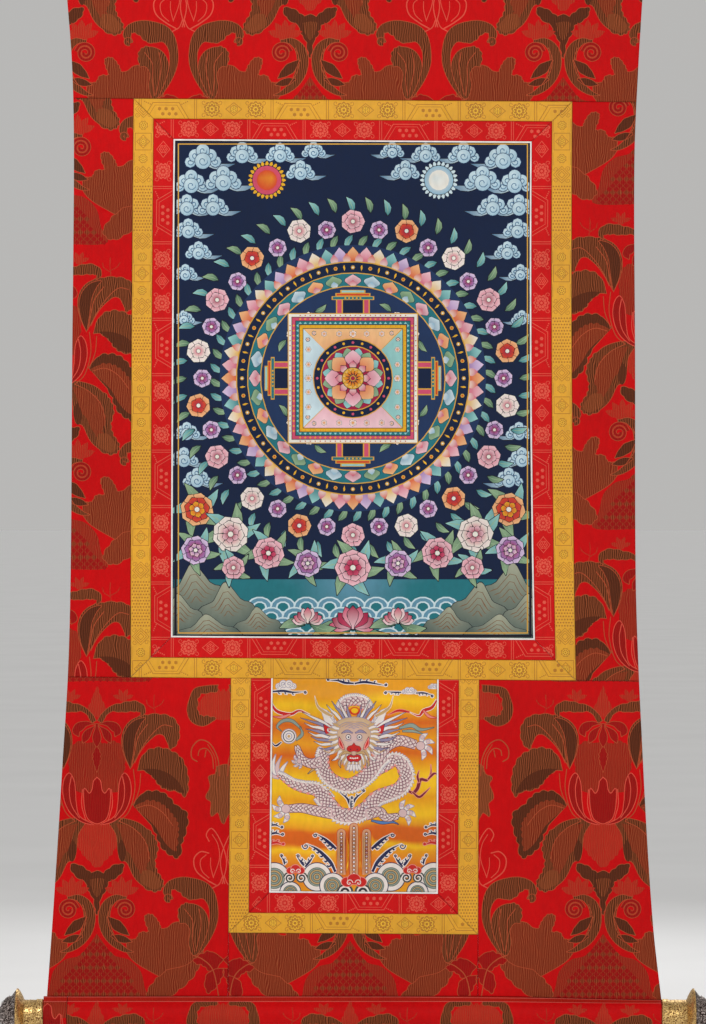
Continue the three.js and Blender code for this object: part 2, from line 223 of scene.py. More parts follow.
DYES = {
    "ground red": (206, 5, 9, 0.0),
    "deep red": (158, 8, 10, 0.15),
    # The next dye is painted shade just under the sleeve's folded top edge
    "bright band": (176, 20, 12, 0.2),
    "shadow": (84, 38, 18, 0.25),
    "bark": (88, 40, 17, 1.0),
    "ochre": (122, 58, 28, 1.0),
    "umber": (128, 40, 18, 0.9),
    "russet": (156, 32, 18, 0.5),
    "blush": (188, 36, 24, 0.5),
    "red line": (182, 78, 46, 0.0),
    "bright line": (226, 84, 66, 0.0),
    "gold": (236, 170, 34, 0.0),
    "gold line": (190, 122, 20, 0.4),
    "gold bright": (250, 196, 46, 0.2),
    "border red": (214, 18, 20, 0.0),
    "border line": (232, 92, 74, 0.4),
    # The next dye is a painted highlight along the sleeve's folded top edge
    "seam line": (214, 96, 84, 0.0),
    "satin": (240, 160, 14, 0.0),
    "silk white": (240, 228, 220, 0.0),
    "silk shell": (224, 190, 188, 0.0),
    "silk pink": (236, 142, 130, 0.0),
    "silk red": (206, 30, 26, 0.0),
    "silk orange": (226, 106, 26, 0.0),
    "silk maroon": (122, 24, 44, 0.0),
    "silk navy": (30, 32, 78, 0.0),
    "silk blue": (86, 130, 188, 0.0),
    "silk reed": (146, 160, 148, 0.0),
    "silk plum": (98, 42, 70, 0.0),
    "silk dusk": (150, 140, 168, 0.0),
    "silk tan": (206, 166, 112, 0.0),
    "silk moss": (96, 98, 84, 0.0),
    # The next two dyes band the satin's ground as painted shade and painted sheen; the bright one is also the
    # yellow of the jewel on the dragon's brow
    "satin deep": (222, 100, 12, 0.0),
    "satin bright": (253, 198, 22, 0.0),
    "ink": (26, 22, 36, 0.0),
    "night": (18, 34, 66, 0.0),
    "night edge": (34, 56, 96, 0.0),
    "cloud light": (214, 234, 240, 0.0),
    "cloud": (150, 192, 216, 0.0),
    "cloud deep": (74, 120, 158, 0.0),
    "deep rose": (168, 32, 70, 0.0),
    "rose": (216, 84, 116, 0.0),
    "pale rose": (248, 204, 212, 0.0),
    "flame": (222, 76, 44, 0.0),
    "peach": (250, 196, 140, 0.0),
    "paper": (246, 240, 228, 0.0),
    "lilac": (168, 124, 184, 0.0),
    "pale lilac": (228, 206, 234, 0.0),
    "teal": (40, 122, 132, 0.0),
    "pale teal": (160, 214, 210, 0.0),
    "leaf green": (66, 108, 88, 0.0),
    "pale leaf": (160, 190, 150, 0.0),
    "sun": (240, 180, 44, 0.0),
    "leaf gold": (226, 170, 66, 0.0),
    "hill": (88, 104, 98, 0.0),
    "hill light": (176, 178, 154, 0.0),
    "earth": (132, 92, 62, 0.0),
    "water": (104, 154, 178, 0.0),
}


def linear(value):
    share = value / 255
    return share / 12.92 if share <= 0.04045 else ((share + 0.055) / 1.055) ** 2.4


DYE_NAMES = list(DYES)
DYE_ROWS = np.array([[linear(c) for c in DYES[name][:3]] + [DYES[name][3]] for name in DYE_NAMES])


class Blend:
    """A dye that changes evenly from one at a centre to another at a rim point's distance."""

    def __init__(self, centre, rim, near, far):
        self.ends = np.array([centre, rim], float)
        self.dyes = (near, far)

    def moved(self, to):
        ends = to(self.ends)
        return Blend(ends[0], ends[1], *self.dyes)


class Bands:
    """Painted sheen and shade across a satin's folds: a dye that changes from the top down, in a soft wave.
    stops: depth in mm, dye.
    """

    def __init__(self, stops):
        self.depths = [depth for depth, dye in stops]
        self.rows = np.array([DYE_ROWS[DYE_NAMES.index(dye)] for depth, dye in stops])

    def lowered(self, depth):
        self.depths = [depth + own for own in self.depths]
        return self

    def at(self, points):
        depth = points[..., 1] + 4.0 * np.sin(points[..., 0] / 21.0) + 0.06 * points[..., 0]
        return np.stack([np.interp(depth, self.depths, self.rows[:, k]) for k in range(4)], axis=-1)


def dye_colour(dye, points):
    """The dye's row at each point."""
    if isinstance(dye, Bands):
        return dye.at(points)
    if isinstance(dye, str):
        return np.broadcast_to(DYE_ROWS[DYE_NAMES.index(dye)], (*points.shape[:-1], 4))
    near, far = (DYE_ROWS[DYE_NAMES.index(name)] for name in dye.dyes)
    reach = max(np.linalg.norm(dye.ends[1] - dye.ends[0]), 1e-6)
    share = np.clip(np.linalg.norm(points - dye.ends[0], axis=-1) / reach, 0, 1)[..., None]
    return near + (far - near) * share


# Drawing on flat cloth. A drawing is a list of (points, dye), the later over the earlier.

def curve(knots, count):
    """Points on a smooth curve through the knots."""
    knots = np.asarray(knots, float)
    ends = np.vstack([2 * knots[0] - knots[1], knots, 2 * knots[-1] - knots[-2]])
    t = np.linspace(0, len(knots) - 1, count)
    i = np.minimum(t.astype(int), len(knots) - 2)
    f = (t - i)[:, None]
    a, b, c, d = (ends[i + k] for k in range(4))
    return 0.5 * (2 * b + (c - a) * f + (2 * a - 5 * b + 4 * c - d) * f**2 + (3 * b - a - 3 * c + d) * f**3)


def sideways(spine):
    """The unit direction to the left of each point of a line."""
    run = np.gradient(spine, axis=0)
    run /= np.maximum(np.linalg.norm(run, axis=1), 1e-9)[:, None]
    return np.stack([-run[:, 1], run[:, 0]], axis=1)


def ribbon(spine, half_width):
    """A polygon with the given half widths about a line."""
    side = sideways(spine) * np.asarray(half_width)[:, None]
    return np.vstack([spine + side, (spine - side)[::-1]])


def line(knots, width=1.0, count=None):
    spine = curve(knots, count or 4 * len(knots))
    return ribbon(spine, np.full(len(spine), width / 2))


def frond(knots, width, lobes=0, notch=0.3, fullest=0.5, root=0.0, grow=0.0):
    """A leaf along a curved spine, lobed like an acanthus where lobes is set."""
    count = max(10, 3 * len(knots), 5 * lobes)
    spine = curve(knots, count)
    t = np.linspace(0, 1, count)
    body = np.sin(np.pi * t ** (math.log(0.5) / math.log(fullest)))
    body = np.maximum(body, root * (1 - t))
    if lobes:
        body = body * (1 - notch + notch * np.abs(np.sin(np.pi * lobes * t)))
    if grow:
        run = np.stack([sideways(spine)[:, 1], -sideways(spine)[:, 0]], axis=1)
        spine[0] -= run[0] * grow
        spine[-1] += run[-1] * grow
    return ribbon(spine, width / 2 * body + grow)


def disc(x, y, radius, squash=1.0, count=None):
    count = count or int(max(8, min(40, 6 + 1.6 * radius)))
    a = np.linspace(0, 2 * np.pi, count, endpoint=False)
    return np.stack([x + radius * np.cos(a), y + radius * squash * np.sin(a)], axis=1)


def discs(x, y, rings, squash=1.0, count=None):
    """Discs one over another, the widest first. rings: radius, dye."""
    return [(disc(x, y, radius, squash, count), dye) for radius, dye in rings]


def polar(x, y, radius, angle):
    """The point at a distance and an angle, in radians, from (x, y)."""
    return x + radius * math.cos(angle), y + radius * math.sin(angle)


def box(left, top, right, bottom):
    return np.array([(left, top), (right, top), (right, bottom), (left, bottom)], float)


def blossom(x, y, radius, petals, depth=0.22):
    """A round flower outline with scalloped petals."""
    a = np.linspace(0, 2 * np.pi, petals * 5, endpoint=False)
    r = radius * (1 - depth + depth * np.abs(np.sin(petals * a / 2)))
    return np.stack([x + r * np.cos(a), y + r * np.sin(a)], axis=1)


def spiral(x, y, outer, inner, start, turns, count=9):
    """Knots of a spiral, wound in from its outer end. Angles in degrees, turns may be negative."""
    t = np.linspace(0, 1, max(count, int(abs(turns) * 9)))
    a = np.radians(start) + 2 * np.pi * turns * t
    r = outer + (inner - outer) * t
    return np.stack([x + r * np.cos(a), y + r * np.sin(a)], axis=1)


def inward(outline):
    """Unit vectors into the cloth at each outline point, long enough at a corner to keep the inset even."""
    before = outline - np.roll(outline, 1, axis=0)
    after = np.roll(outline, -1, axis=0) - outline
    before /= np.linalg.norm(before, axis=1)[:, None]
    after /= np.linalg.norm(after, axis=1)[:, None]
    left_before = np.stack([-before[:, 1], before[:, 0]], axis=1)
    left_after = np.stack([-after[:, 1], after[:, 0]], axis=1)
    both = left_before + left_after
    return both / np.maximum(np.einsum("ij,ij->i", both, left_after), 0.3)[:, None]


def signed_area(outline):
    x, y = outline[:, 0], outline[:, 1]
    return np.sum(x * np.roll(y, -1) - np.roll(x, -1) * y) / 2


def moved(drawing, to):
    return [(to(points), dye.moved(to) if isinstance(dye, Blend) else dye) for points, dye in drawing]


def shifted(drawing, x, y, flip=False, scale=1.0, turn=0.0):
    c = math.cos(math.radians(turn)) * scale
    s = math.sin(math.radians(turn)) * scale
    mirror = -1 if flip else 1

    def to(p):
        px = p[:, 0] * mirror
        return np.stack([x + px * c - p[:, 1] * s, y + px * s + p[:, 1] * c], axis=1)

    return moved(drawing, to)


# The red damask: one half of a repeat, drawn about the axis of the tulip. y runs down.

DAMASK_WIDTH = 347.4
DAMASK_HEIGHT = 446.0
DAMASK_OUTLINE = 0.8

DAMASK_SHAPES = [
    # edge, teeth, their depth, where along the edge they start and end, dye, whether it has a light outline
    ([(46, 121), (38, 104), (34, 84), (38, 66), (49, 54), (66, 49), (88, 48), (104, 53), (112, 67),
     (110, 84), (102, 93), (97, 86), (92, 76), (84, 74), (76, 79), (65, 90), (54, 107)], 8, 1.8, 0.26,
     0.62, "bark", True),
    ([(46, 121), (39, 104), (36, 84), (40, 68), (51, 56), (66, 52), (60, 60), (53, 76), (50, 98)], 0, 0,
     0, 1, "shadow", True),
    ([(56, 124), (61, 106), (72, 97), (87, 94), (103, 99), (115, 108), (122, 124), (124, 142),
     (121, 158), (112, 152), (95, 149), (86, 143), (78, 132), (67, 124)], 15, 2.2, 0.12, 0.94, "bark",
     True),
    ([(62, 122), (80, 122), (98, 128), (112, 140), (120, 156), (110, 150), (94, 147), (84, 140), (76, 130)],
     6, 2.0, 0.5, 0.95, "shadow", False),
    ([(49, 171), (61, 157), (74, 154), (87, 155), (98, 162), (107, 173), (121, 182), (123, 196),
     (119, 213), (115, 224), (112, 242), (103, 240), (92, 232), (85, 219), (80, 206), (66, 190)], 15, 2.6,
     0.08, 0.9, "shadow", True),
    ([(50, 174), (62, 168), (78, 167), (92, 174), (103, 186), (110, 198), (110, 214), (107, 234),
     (97, 228), (88, 216), (80, 202), (66, 188)], 12, 2.4, 0.1, 0.6, "umber", False),
    ([(14, 193), (33, 190), (56, 196), (70, 207), (78, 218), (82, 232), (78, 249), (81, 263), (89, 276),
     (88, 285), (78, 289), (61, 281), (50, 269), (42, 252), (36, 248), (31, 246), (28, 230), (26, 212)],
     13, 2.2, 0.16, 0.6, "bark", True),
    ([(26, 197), (44, 201), (58, 211), (67, 226), (71, 244), (66, 258), (70, 266), (60, 264), (52, 254),
     (46, 240), (38, 232), (34, 216)], 10, 2.4, 0.15, 0.6, "umber", False),
    ([(34, 218), (40, 236), (36, 249), (31, 246), (28, 230)], 0, 0, 0, 1, "shadow", False),
    ([(62, 262), (76, 264), (86, 276), (86, 284), (76, 286), (62, 278)], 4, 1.4, 0, 1, "ochre", False),
    ([(40, 372), (44, 358), (54, 356), (60, 347), (72, 346), (68, 334), (67, 324), (76, 323), (84, 333),
     (88, 341), (97, 340), (104, 334), (114, 332), (128, 336), (142, 352), (146, 372), (134, 392),
     (116, 404), (96, 410), (70, 398), (50, 385)], 16, 1.2, 0.02, 0.42, "umber", True),
    ([(96, 398), (122, 392), (140, 380), (134, 402), (112, 424), (84, 440), (70, 430), (84, 410)], 9,
     2.4, 0.3, 0.9, "umber", True),
    ([(114, 334), (113, 316), (121, 308), (134, 308), (146, 315), (153, 330), (151, 350), (141, 372),
     (132, 378), (126, 362), (128, 344), (122, 334)], 4, 1.6, 0.02, 0.2, "bark", True),
    ([(97, 301), (91, 290), (98, 277), (115, 271), (135, 273), (152, 280), (162, 294), (166, 316),
     (164, 336), (154, 358), (140, 376), (150, 352), (155, 330), (154, 312), (146, 300), (134, 301),
     (122, 298), (114, 290), (104, 286), (100, 291), (104, 300)], 5, 1.6, 0.72, 0.92, "bark", True),
    ([(166, 7), (150, 8), (134, 12), (127, 26), (124, 42), (130, 57), (146, 63), (161, 54), (152, 51),
     (142, 50), (137, 42), (137, 26), (144, 17), (162, 15)], 8, 2.4, 0.02, 0.5, "bark", True),
    ([(173.7, 384), (160, 374), (147, 376), (134, 386), (146, 390), (158, 398)], 7, 2.4, 0.05, 0.75,
     "deep red", True),
    ([(173.7, 396), (160, 398), (150, 410), (152, 428), (163, 420), (170, 408)], 6, 2.0, 0.05, 0.75,
     "deep red", True),
]

AXIS_SHAPES = [
    # right half of the edge, from the top down, where its axis is, teeth, their depth, dye, outline
    ([(0, 84), (12, 88), (22, 84), (34, 92), (38, 112), (36, 130), (34, 150), (0, 154)], 0, 22, 1.6,
     "russet", False),
    ([(0, 262), (8, 266), (15, 261), (24, 255), (35, 254), (34, 262), (27, 270), (15, 277), (13, 284),
     (9, 292), (4, 300), (2, 312), (0, 320)], 0, 20, 1.5, "shadow", True),
    ([(0, 272), (10, 274), (7, 288), (0, 298)], 0, 0, 0, "bark", False),
    ([(0, 8), (5, 24), (12, 40), (7, 46), (0, 50)], 0, 12, 1.4, "blush", False),
    ([(0, 196), (12, 197), (24, 208), (26, 224), (20, 238), (12, 246), (0, 257)], 0, 15, 1.8, "blush", False),
    ([(0, 116), (8, 119), (11, 129), (20, 134), (17, 145), (23, 160), (16, 169), (17, 186), (8, 181),
     (0, 196)], 173.7, 14, 1.2, "ochre", True),
    ([(0, 17), (14, 17), (27, 22), (34, 34), (31, 47), (18, 52), (0, 55)], 173.7, 0, 0, "blush", False),
]

DAMASK_LEAVES = [
    # spine, width, lobes, notch, fullest, root, dye
    ([(4, 57), (11, 46), (21, 39), (33, 38), (46, 36), (57, 37), (63, 43), (60, 50)], 15, 7, 0.2, 0.6,
     0.5, "bark"),
    ([(40, 299), (26, 299), (14, 309), (10, 325), (13, 343), (23, 359), (38, 370), (50, 373)],
     15, 0, 0.0, 0.45, 0.2, "bark"),
    ([(15, 325), (27, 336), (44, 350)], 14, 3, 0.12, 0.55, 0.2, "shadow"),
    ([(20, 351), (33, 355), (48, 359)], 10, 2, 0.1, 0.5, 0.2, "shadow"),
    ([(4, 60), (16, 60), (28, 68), (25, 77)], 12, 3, 0.2, 0.6, 0.1, "deep red"),
    ([(2, 62), (12, 72), (19, 86)], 10, 0, 0.0, 0.65, 0.0, "deep red"),
    ([(0, 60), (0, 92)], 11, 0, 0.0, 0.6, 0.3, "deep red"),
    ([(0, 92), (0, 108), (0, 126)], 12, 5, 0.3, 0.4, 0.3, "deep red"),
]

TULIP_HALF = [
    (0, 134), (4.5, 139), (6.5, 151), (11, 156), (17.5, 150), (17, 174), (12.5, 190), (4, 196), (0, 197)
]
SEPAL_HALF = [
    (4, 199), (22, 194), (38, 180), (46, 158), (45, 138), (38, 128), (32, 138), (30, 152), (29, 170),
    (24, 188)
]
LATTICE_HALF = [(0, 348), (10, 362), (24, 378), (44, 384), (60, 400), (66, 424), (72, 447), (0, 447)]

DAMASK_LINES = [
    # spine, width, dye: the thin light drawing on and between the leaves
    ([(48, 119), (52, 98), (57, 78), (70, 60)], 1.1, "red line"),
    ([(52, 114), (60, 96), (74, 76), (90, 62), (104, 64)], 1.0, "red line"),
    ([(50, 122), (52, 150), (44, 180), (30, 194)], 1.2, "red line"),
    ([(60, 128), (58, 150), (50, 172)], 1.1, "red line"),
    ([(54, 176), (72, 172), (90, 182), (104, 200)], 1.0, "red line"),
    ([(30, 194), (50, 204), (66, 222), (72, 246)], 1.0, "red line"),
    ([(120, 314), (131, 330), (131, 352), (134, 374)], 1.0, "red line"),
    ([(140, 314), (143, 334), (140, 354), (136, 372)], 1.0, "red line"),
    ([(20, 308), (15, 324), (18, 342), (30, 360)], 1.0, "red line"),
    ([(35, 132), (38, 150), (35, 172), (24, 190)], 1.2, "bright line"),
    ([(20, 150), (21, 172), (15, 194)], 1.2, "bright line"),
    ([(6, 150), (5, 170), (3, 190)], 0.9, "bright line"),
    ([(168, 132), (166, 108), (156, 88), (142, 82), (131, 92), (130, 106), (138, 112)], 1.6, "red line"),
    ([(160, 122), (158, 104), (150, 94), (141, 96), (139, 104)], 1.4, "red line"),
    ([(164, 126), (162, 106), (152, 88)], 1.0, "red line"),
    ([(148, 106), (150, 96)], 1.3, "red line"),
    ([(132, 378), (146, 384), (160, 400), (168, 440)], 1.5, "red line"),
    ([(80, 46), (78, 32), (79, 20)], 1.4, "blush"),
    ([(79, 40), (70, 34), (68, 27)], 1.3, "blush"),
    ([(79, 38), (88, 33), (92, 27)], 1.3, "blush"),
    ([(172, 280), (178, 250), (170, 222), (158, 204), (150, 212), (154, 222)], 1.5, "bright line"),
    ([(160, 270), (168, 246), (166, 226), (158, 212)], 1.1, "bright line"),
    ([(164, 282), (150, 274), (136, 262), (133, 246), (142, 236), (154, 238)], 1.7, "bright line"),
    ([(154, 272), (144, 262), (142, 248), (150, 240)], 1.2, "bright line"),
    ([(160, 272), (156, 256), (156, 244)], 1.1, "bright line"),
    ([(173, 268), (168, 280), (158, 286)], 1.4, "bright line"),
]

DAMASK_SPIRALS = [
    # x, y, outer, inner, start, turns, band, dye
    (39, 315, 13.5, 2.5, 190, 2.0, 3.4, "deep red"),
    (98, 299, 4.5, 1.5, 60, 1.0, 4.0, "bark"),
]

DAMASK_FANS = [
    # x, y, radius, fingers, dye: faint palmettes
    (34, 294, 25, 5, "blush"),
    (36, 26, 15, 4, "blush"),
    (-36, 26, 15, 4, "blush"),
    (166, 34, 24, 7, "blush"),
]


def grown(points, distance):
    """A closed shape pushed outwards."""
    if signed_area(points) < 0:
        points = points[::-1]
    return points - inward(points) * distance


def outlined(points, dye, edge="red line", distance=1.1):
    return [(grown(points, distance), edge), (points, dye)]


def mirrored_shape(half, axis=0.0):
    """A closed smooth shape from the half of it at the right of its axis."""
    left = [(-x, y) for x, y in reversed(half) if x > 0]
    return curve(half + left, 5 * len(half + left)) + [axis, 0]


def toothed(points, teeth, depth, start=0.0, end=1.0):
    """A closed shape with rounded teeth along part of its edge."""
    if not teeth:
        return points
    count = max(len(points), int(5 * teeth / (end - start)))
    where = np.linspace(0, len(points), count, endpoint=False)
    around = np.vstack([points, points[:1]])
    fine = np.stack([np.interp(where, np.arange(len(around)), around[:, k]) for k in (0, 1)], axis=1)
    share = (np.arange(count) / count - start) / (end - start)
    push = np.where((share > 0) & (share < 1), np.abs(np.sin(np.pi * teeth * share)), 0) * depth
    return grown(fine, push[:, None])


def damask_half():
    half = []
    for x, y, radius, fingers, dye in DAMASK_FANS:
        for k in range(fingers):
            tip = polar(x, y, radius, math.radians(-160 + 140 * k / (fingers - 1)))
            half.append((frond([(x, y), tip], radius * 0.4, fullest=0.55, root=0.3), dye))
        half.append((disc(x, y, radius * 0.36, 0.7), dye))
    for edge, teeth, depth, start, end, dye, light in DAMASK_SHAPES:
        shape = toothed(curve(edge + edge[:1], 4 * len(edge))[:-1], teeth, depth, start, end)
        half += outlined(shape, dye, distance=DAMASK_OUTLINE) if light else [(shape, dye)]
    sepal = curve(SEPAL_HALF + SEPAL_HALF[:1], 40)[:-1]
    half += outlined(sepal, "deep red", "bright line", 1.1)
    for spine, width, lobes, notch, fullest, root, dye in DAMASK_LEAVES:
        shape = dict(lobes=lobes, notch=notch, fullest=fullest, root=root)
        half.append((frond(spine, width, grow=DAMASK_OUTLINE, **shape), "red line"))
        half.append((frond(spine, width, **shape), dye))
    for x, y, outer, inner, start, turns, band, dye in DAMASK_SPIRALS:
        knots = spiral(x, y, outer, inner, start, turns)
        half.append((line(knots, band + 2 * DAMASK_OUTLINE, 3 * len(knots)), "red line"))
        half.append((line(knots, band, 3 * len(knots)), dye))
    for spine, width, dye in DAMASK_LINES:
        half.append((line(spine, width), dye))
    return half


def damask_repeat():
    whole = [(mirrored_shape(LATTICE_HALF), "russet")]
    for row in range(20):
        for column in range(-7, 8):
            x = 9.4 * column + (4.7 if row % 2 else 0)
            y = 358 + 4.6 * row
            if abs(x) < 2 + (y - 352) * 0.74:
                diamond = [(x - 3.7, y), (x, y - 3.6), (x + 3.7, y), (x, y + 3.6)]
                whole.append((np.array(diamond), "deep red" if row % 4 else "umber"))
    for edge, axis, teeth, depth, dye, light in AXIS_SHAPES:
        shape = toothed(mirrored_shape(edge, axis), teeth, depth)
        whole += outlined(shape, dye, distance=DAMASK_OUTLINE) if light else [(shape, dye)]
    half = damask_half()
    whole += half + shifted(half, 0, 0, flip=True)
    whole += outlined(mirrored_shape(TULIP_HALF), "deep red", "bright line")
    return whole


DAMASK = damask_repeat()


def damask_on(box, axis_x, crown_depth):
    """The damask over a box (left, top, right, bottom), one axis at axis_x and one crown at crown_depth."""
    left, top, right, bottom = box
    drawn = []
    first_column = math.floor((left - axis_x) / DAMASK_WIDTH - 0.5)
    last_column = math.ceil((right - axis_x) / DAMASK_WIDTH + 0.5)
    first_row = math.floor((top - crown_depth) / DAMASK_HEIGHT - 1)
    last_row = math.ceil((bottom - crown_depth) / DAMASK_HEIGHT)
    for row in range(first_row, last_row + 1):
        for column in range(first_column, last_column + 1):
            drawn += shifted(DAMASK, axis_x + column * DAMASK_WIDTH, crown_depth + row * DAMASK_HEIGHT)
    return drawn


# Making a cloth piece from its flat outline and drawing

def inside(points, polygon):
    """Which points lie inside a polygon, by winding number."""
    block = max(1, BLOCK // len(polygon))
    if len(points) > block:
        return np.concatenate([inside(points[k:k + block], polygon) for k in range(0, len(points), block)])
    after = np.roll(polygon, -1, axis=0)
    run = after - polygon
    x, y = points[:, 0, None], points[:, 1, None]
    side = run[:, 0] * (y - polygon[:, 1]) - (x - polygon[:, 0]) * run[:, 1]
    above = y >= polygon[:, 1]
    above_after = y >= after[:, 1]
    winding = (above & ~above_after & (side > 0)).astype(np.int32) - (~above & above_after & (side < 0))
    return winding.sum(axis=1) != 0


def edge_distance(points, outline):
    """How far each point lies from the outline."""
    nearest = np.full(len(points), 1e9)
    for a, b in zip(outline, np.roll(outline, -1, axis=0)):
        run = b - a
        t = np.clip(((points - a) @ run) / max(run @ run, 1e-9), 0, 1)
        gap = points - a - t[:, None] * run
        nearest = np.minimum(nearest, np.einsum("ij,ij->i", gap, gap))
    return np.sqrt(nearest)


NEAR = 1e-4
BLOCK = 2000000
SHORTEST = 0.35


def thinned(points, least):
    kept = [points[0]]
    for p in points[1:]:
        if np.hypot(*(p - kept[-1])) >= least:
            kept.append(p)
    if len(kept) > 3 and np.hypot(*(kept[-1] - kept[0])) < least:
        kept.pop()
    return np.array(kept)


def simplified(points, slack):
    """A closed outline without the points that stray little from the line between their neighbours."""
    for turn in range(6):
        if len(points) < 7:
            break
        before, after = np.roll(points, 1, axis=0), np.roll(points, -1, axis=0)
        run = after - before
        off = run[:, 0] * (points[:, 1] - before[:, 1]) - run[:, 1] * (points[:, 0] - before[:, 0])
        stray = np.abs(off) / np.maximum(np.linalg.norm(run, axis=1), 1e-9)
        points = points[(stray > slack) | (np.arange(len(points)) % 2 == turn % 2)]
    return points


def triangulate(points, edges):
    """Points, triangles and, for each given point, where it is in the new list."""
    result = delaunay_2d_cdt([Vector(p) for p in points.tolist()], edges, [], 0, NEAR, True)
    where = np.zeros(len(points), int)
    for k, given in enumerate(result[3]):
        where[list(given)] = k
    return np.array([v[:] for v in result[0]]), np.array([f for f in result[2]]), where


def boundary_loop(triangles):
    """The single loop of edges that only one triangle uses, in its direction."""
    directed = {}
    for a, b, c in triangles.tolist():
        for start, end in ((a, b), (b, c), (c, a)):
            directed[(start, end)] = True
    after = {start: end for start, end in directed if (end, start) not in directed}
    first = next(iter(after))
    loop = [first]
    while after[loop[-1]] != first:
        loop.append(after[loop[-1]])
    return loop


EDGE_ROLL = 1.3
EDGE_DROP = 0.42
# How much painted shade darkens the dyes along a seam's rolled edge
SEAM_SHADE = 0.4
FLIP = np.array([1.0, -1.0])


def shapes_within(drawing, low, high, slack, shortest):
    """The shapes that reach the cloth, turned upright and without the points they don't need."""
    shapes = []
    for points, dye in drawing:
        points = points * FLIP
        if (points.max(axis=0) < low).any() or (points.min(axis=0) > high).any():
            continue
        points = simplified(thinned(points, shortest), slack)
        if len(points) >= 3:
            shapes.append((points, dye.moved(lambda p: p * FLIP) if isinstance(dye, Blend) else dye))
    return shapes


def shape_of_each(middles, shapes):
    """The last shape that each triangle's middle lies in, or -1."""
    owner = np.full(len(middles), -1)
    by_x = np.argsort(middles[:, 0])
    sorted_x = middles[by_x, 0]
    for k, (points, _) in enumerate(shapes):
        (left, lowest), (right, highest) = points.min(axis=0), points.max(axis=0)
        rows = by_x[np.searchsorted(sorted_x, left):np.searchsorted(sorted_x, right)]
        rows = rows[(middles[rows, 1] >= lowest) & (middles[rows, 1] <= highest)]
        if len(rows):
            owner[rows[inside(middles[rows], points)]] = k
    return owner


def wound_alike(flat, triangles):
    """The triangles, all turned the same way round."""
    corners = flat[triangles]
    over = np.cross(corners[:, 1] - corners[:, 0], corners[:, 2] - corners[:, 0]) < 0
    triangles[over] = triangles[over][:, ::-1]
    return triangles


def cut_front(outline, shapes, roll, step):
    """The front's flat points, its triangles with edges along every shape, and each triangle's shape."""
    rings = [outline, outline + inward(outline) * roll] + [points for points, _ in shapes]
    edges = []
    start = 0
    for ring in rings:
        edges += ring_edges(start, len(ring))
        start += len(ring)
    flat, triangles, _ = triangulate(np.vstack(rings + [grid_inside(outline, step)]), edges)
    triangles = triangles[inside(flat[triangles].mean(axis=1), outline)]
    owner = shape_of_each(flat[triangles].mean(axis=1), shapes)
    used = np.unique(triangles)
    renumber = np.full(len(flat), -1)
    renumber[used] = np.arange(len(used))
    flat = flat[used]
    return flat, wound_alike(flat, renumber[triangles]), owner


def dye_corners(mesh, front_rows, ground_row, plain_corners):
    """Writes the dye and the share of figure weave at each corner: the front, then the plain back and rim."""
    colours = np.vstack([front_rows.reshape(-1, 4), np.tile(ground_row, (plain_corners, 1))])
    dye_layer = mesh.color_attributes.new("dye", "FLOAT_COLOR", "CORNER")
    dye_layer.data.foreach_set("color", np.column_stack([colours[:, :3], np.ones(len(colours))]).ravel())
    figure = mesh.attributes.new("figure", "FLOAT", "CORNER")
    figure.data.foreach_set("value", colours[:, 3].copy())


def front_dyes(flat, triangles, owner, shapes, ground):
    """The dye rows of the front's corners, and the ground's own row."""
    rows = np.array(dye_colour(ground, flat[triangles] * FLIP))
    ground_row = rows[0, 0].copy()
    by_owner = np.argsort(owner, kind="stable")
    starts = np.searchsorted(owner[by_owner], np.arange(len(shapes) + 1))
    for k, (_, dye) in enumerate(shapes):
        own = by_owner[starts[k]:starts[k + 1]]
        if len(own):
            rows[own] = dye_colour(dye, flat[triangles[own]])
    return rows, ground_row


def cloth(name, outline, drawing, ground, place, step, materials, hem=(), roll=EDGE_ROLL, slack=0.12,
          shortest=SHORTEST):
    """A closed sheet. outline and drawing are in (x, depth); place turns (x, depth, out) into a point."""
    outline = np.asarray(outline, float) * FLIP
    if signed_area(outline) < 0:
        outline = outline[::-1]
    shapes = shapes_within(drawing, outline.min(axis=0), outline.max(axis=0), slack, shortest)
    flat, triangles, owner = cut_front(outline, shapes, roll, step)
    loop = boundary_loop(triangles)
    rolled = np.clip(1 - edge_distance(flat, outline) / roll, 0, 1)
    front = place(flat[:, 0], -flat[:, 1], CLOTH / 2 - EDGE_DROP * rolled**2)
    back_flat, back_triangles = back_of(flat[loop], outline, step, hem)
    back = place(back_flat[:, 0], -back_flat[:, 1], -(CLOTH / 2 + hem_height(back_flat, hem)))

    count = len(flat)
    rims = len(loop)
    rim = [(loop[k], count + k, count + (k + 1) % rims, loop[(k + 1) % rims]) for k in range(rims)]
    faces = triangles.tolist() + (back_triangles[:, ::-1] + count).tolist() + rim
    mesh = bpy.data.meshes.new(name)
    mesh.from_pydata((np.vstack([front, back]) * MM).tolist(), [], faces)
    obj = bpy.data.objects.new(name, mesh)
    bpy.context.collection.objects.link(obj)
    for material in materials:
        mesh.materials.append(material)
    sizes = (len(triangles), len(back_triangles), rims)
    mesh.polygons.foreach_set("material_index", np.repeat([0, 1, 0], sizes))
    mesh.polygons.foreach_set("use_smooth", np.repeat([True, True, False], sizes))

    # Painted shade in the seams: the dyes darken towards each rolled edge that meets another piece; hemmed
    # edges keep their dye
    seam_shade_share = rolled.copy()
    for distance, _ in hem:
        seam_shade_share[distance(flat) < roll] = 0
    rows, ground_row = front_dyes(flat, triangles, owner, shapes, ground)
    rows[:, :, :3] *= (1 - SEAM_SHADE * seam_shade_share[triangles])[:, :, None]
    dye_corners(mesh, rows, ground_row, 3 * len(back_triangles) + 4 * rims)
    bake_map(mesh, flat, triangles, back_flat, back_triangles, loop)
    mesh.update()
    return obj


def ring_edges(start, count):
    return [(start + k, start + (k + 1) % count) for k in range(count)]


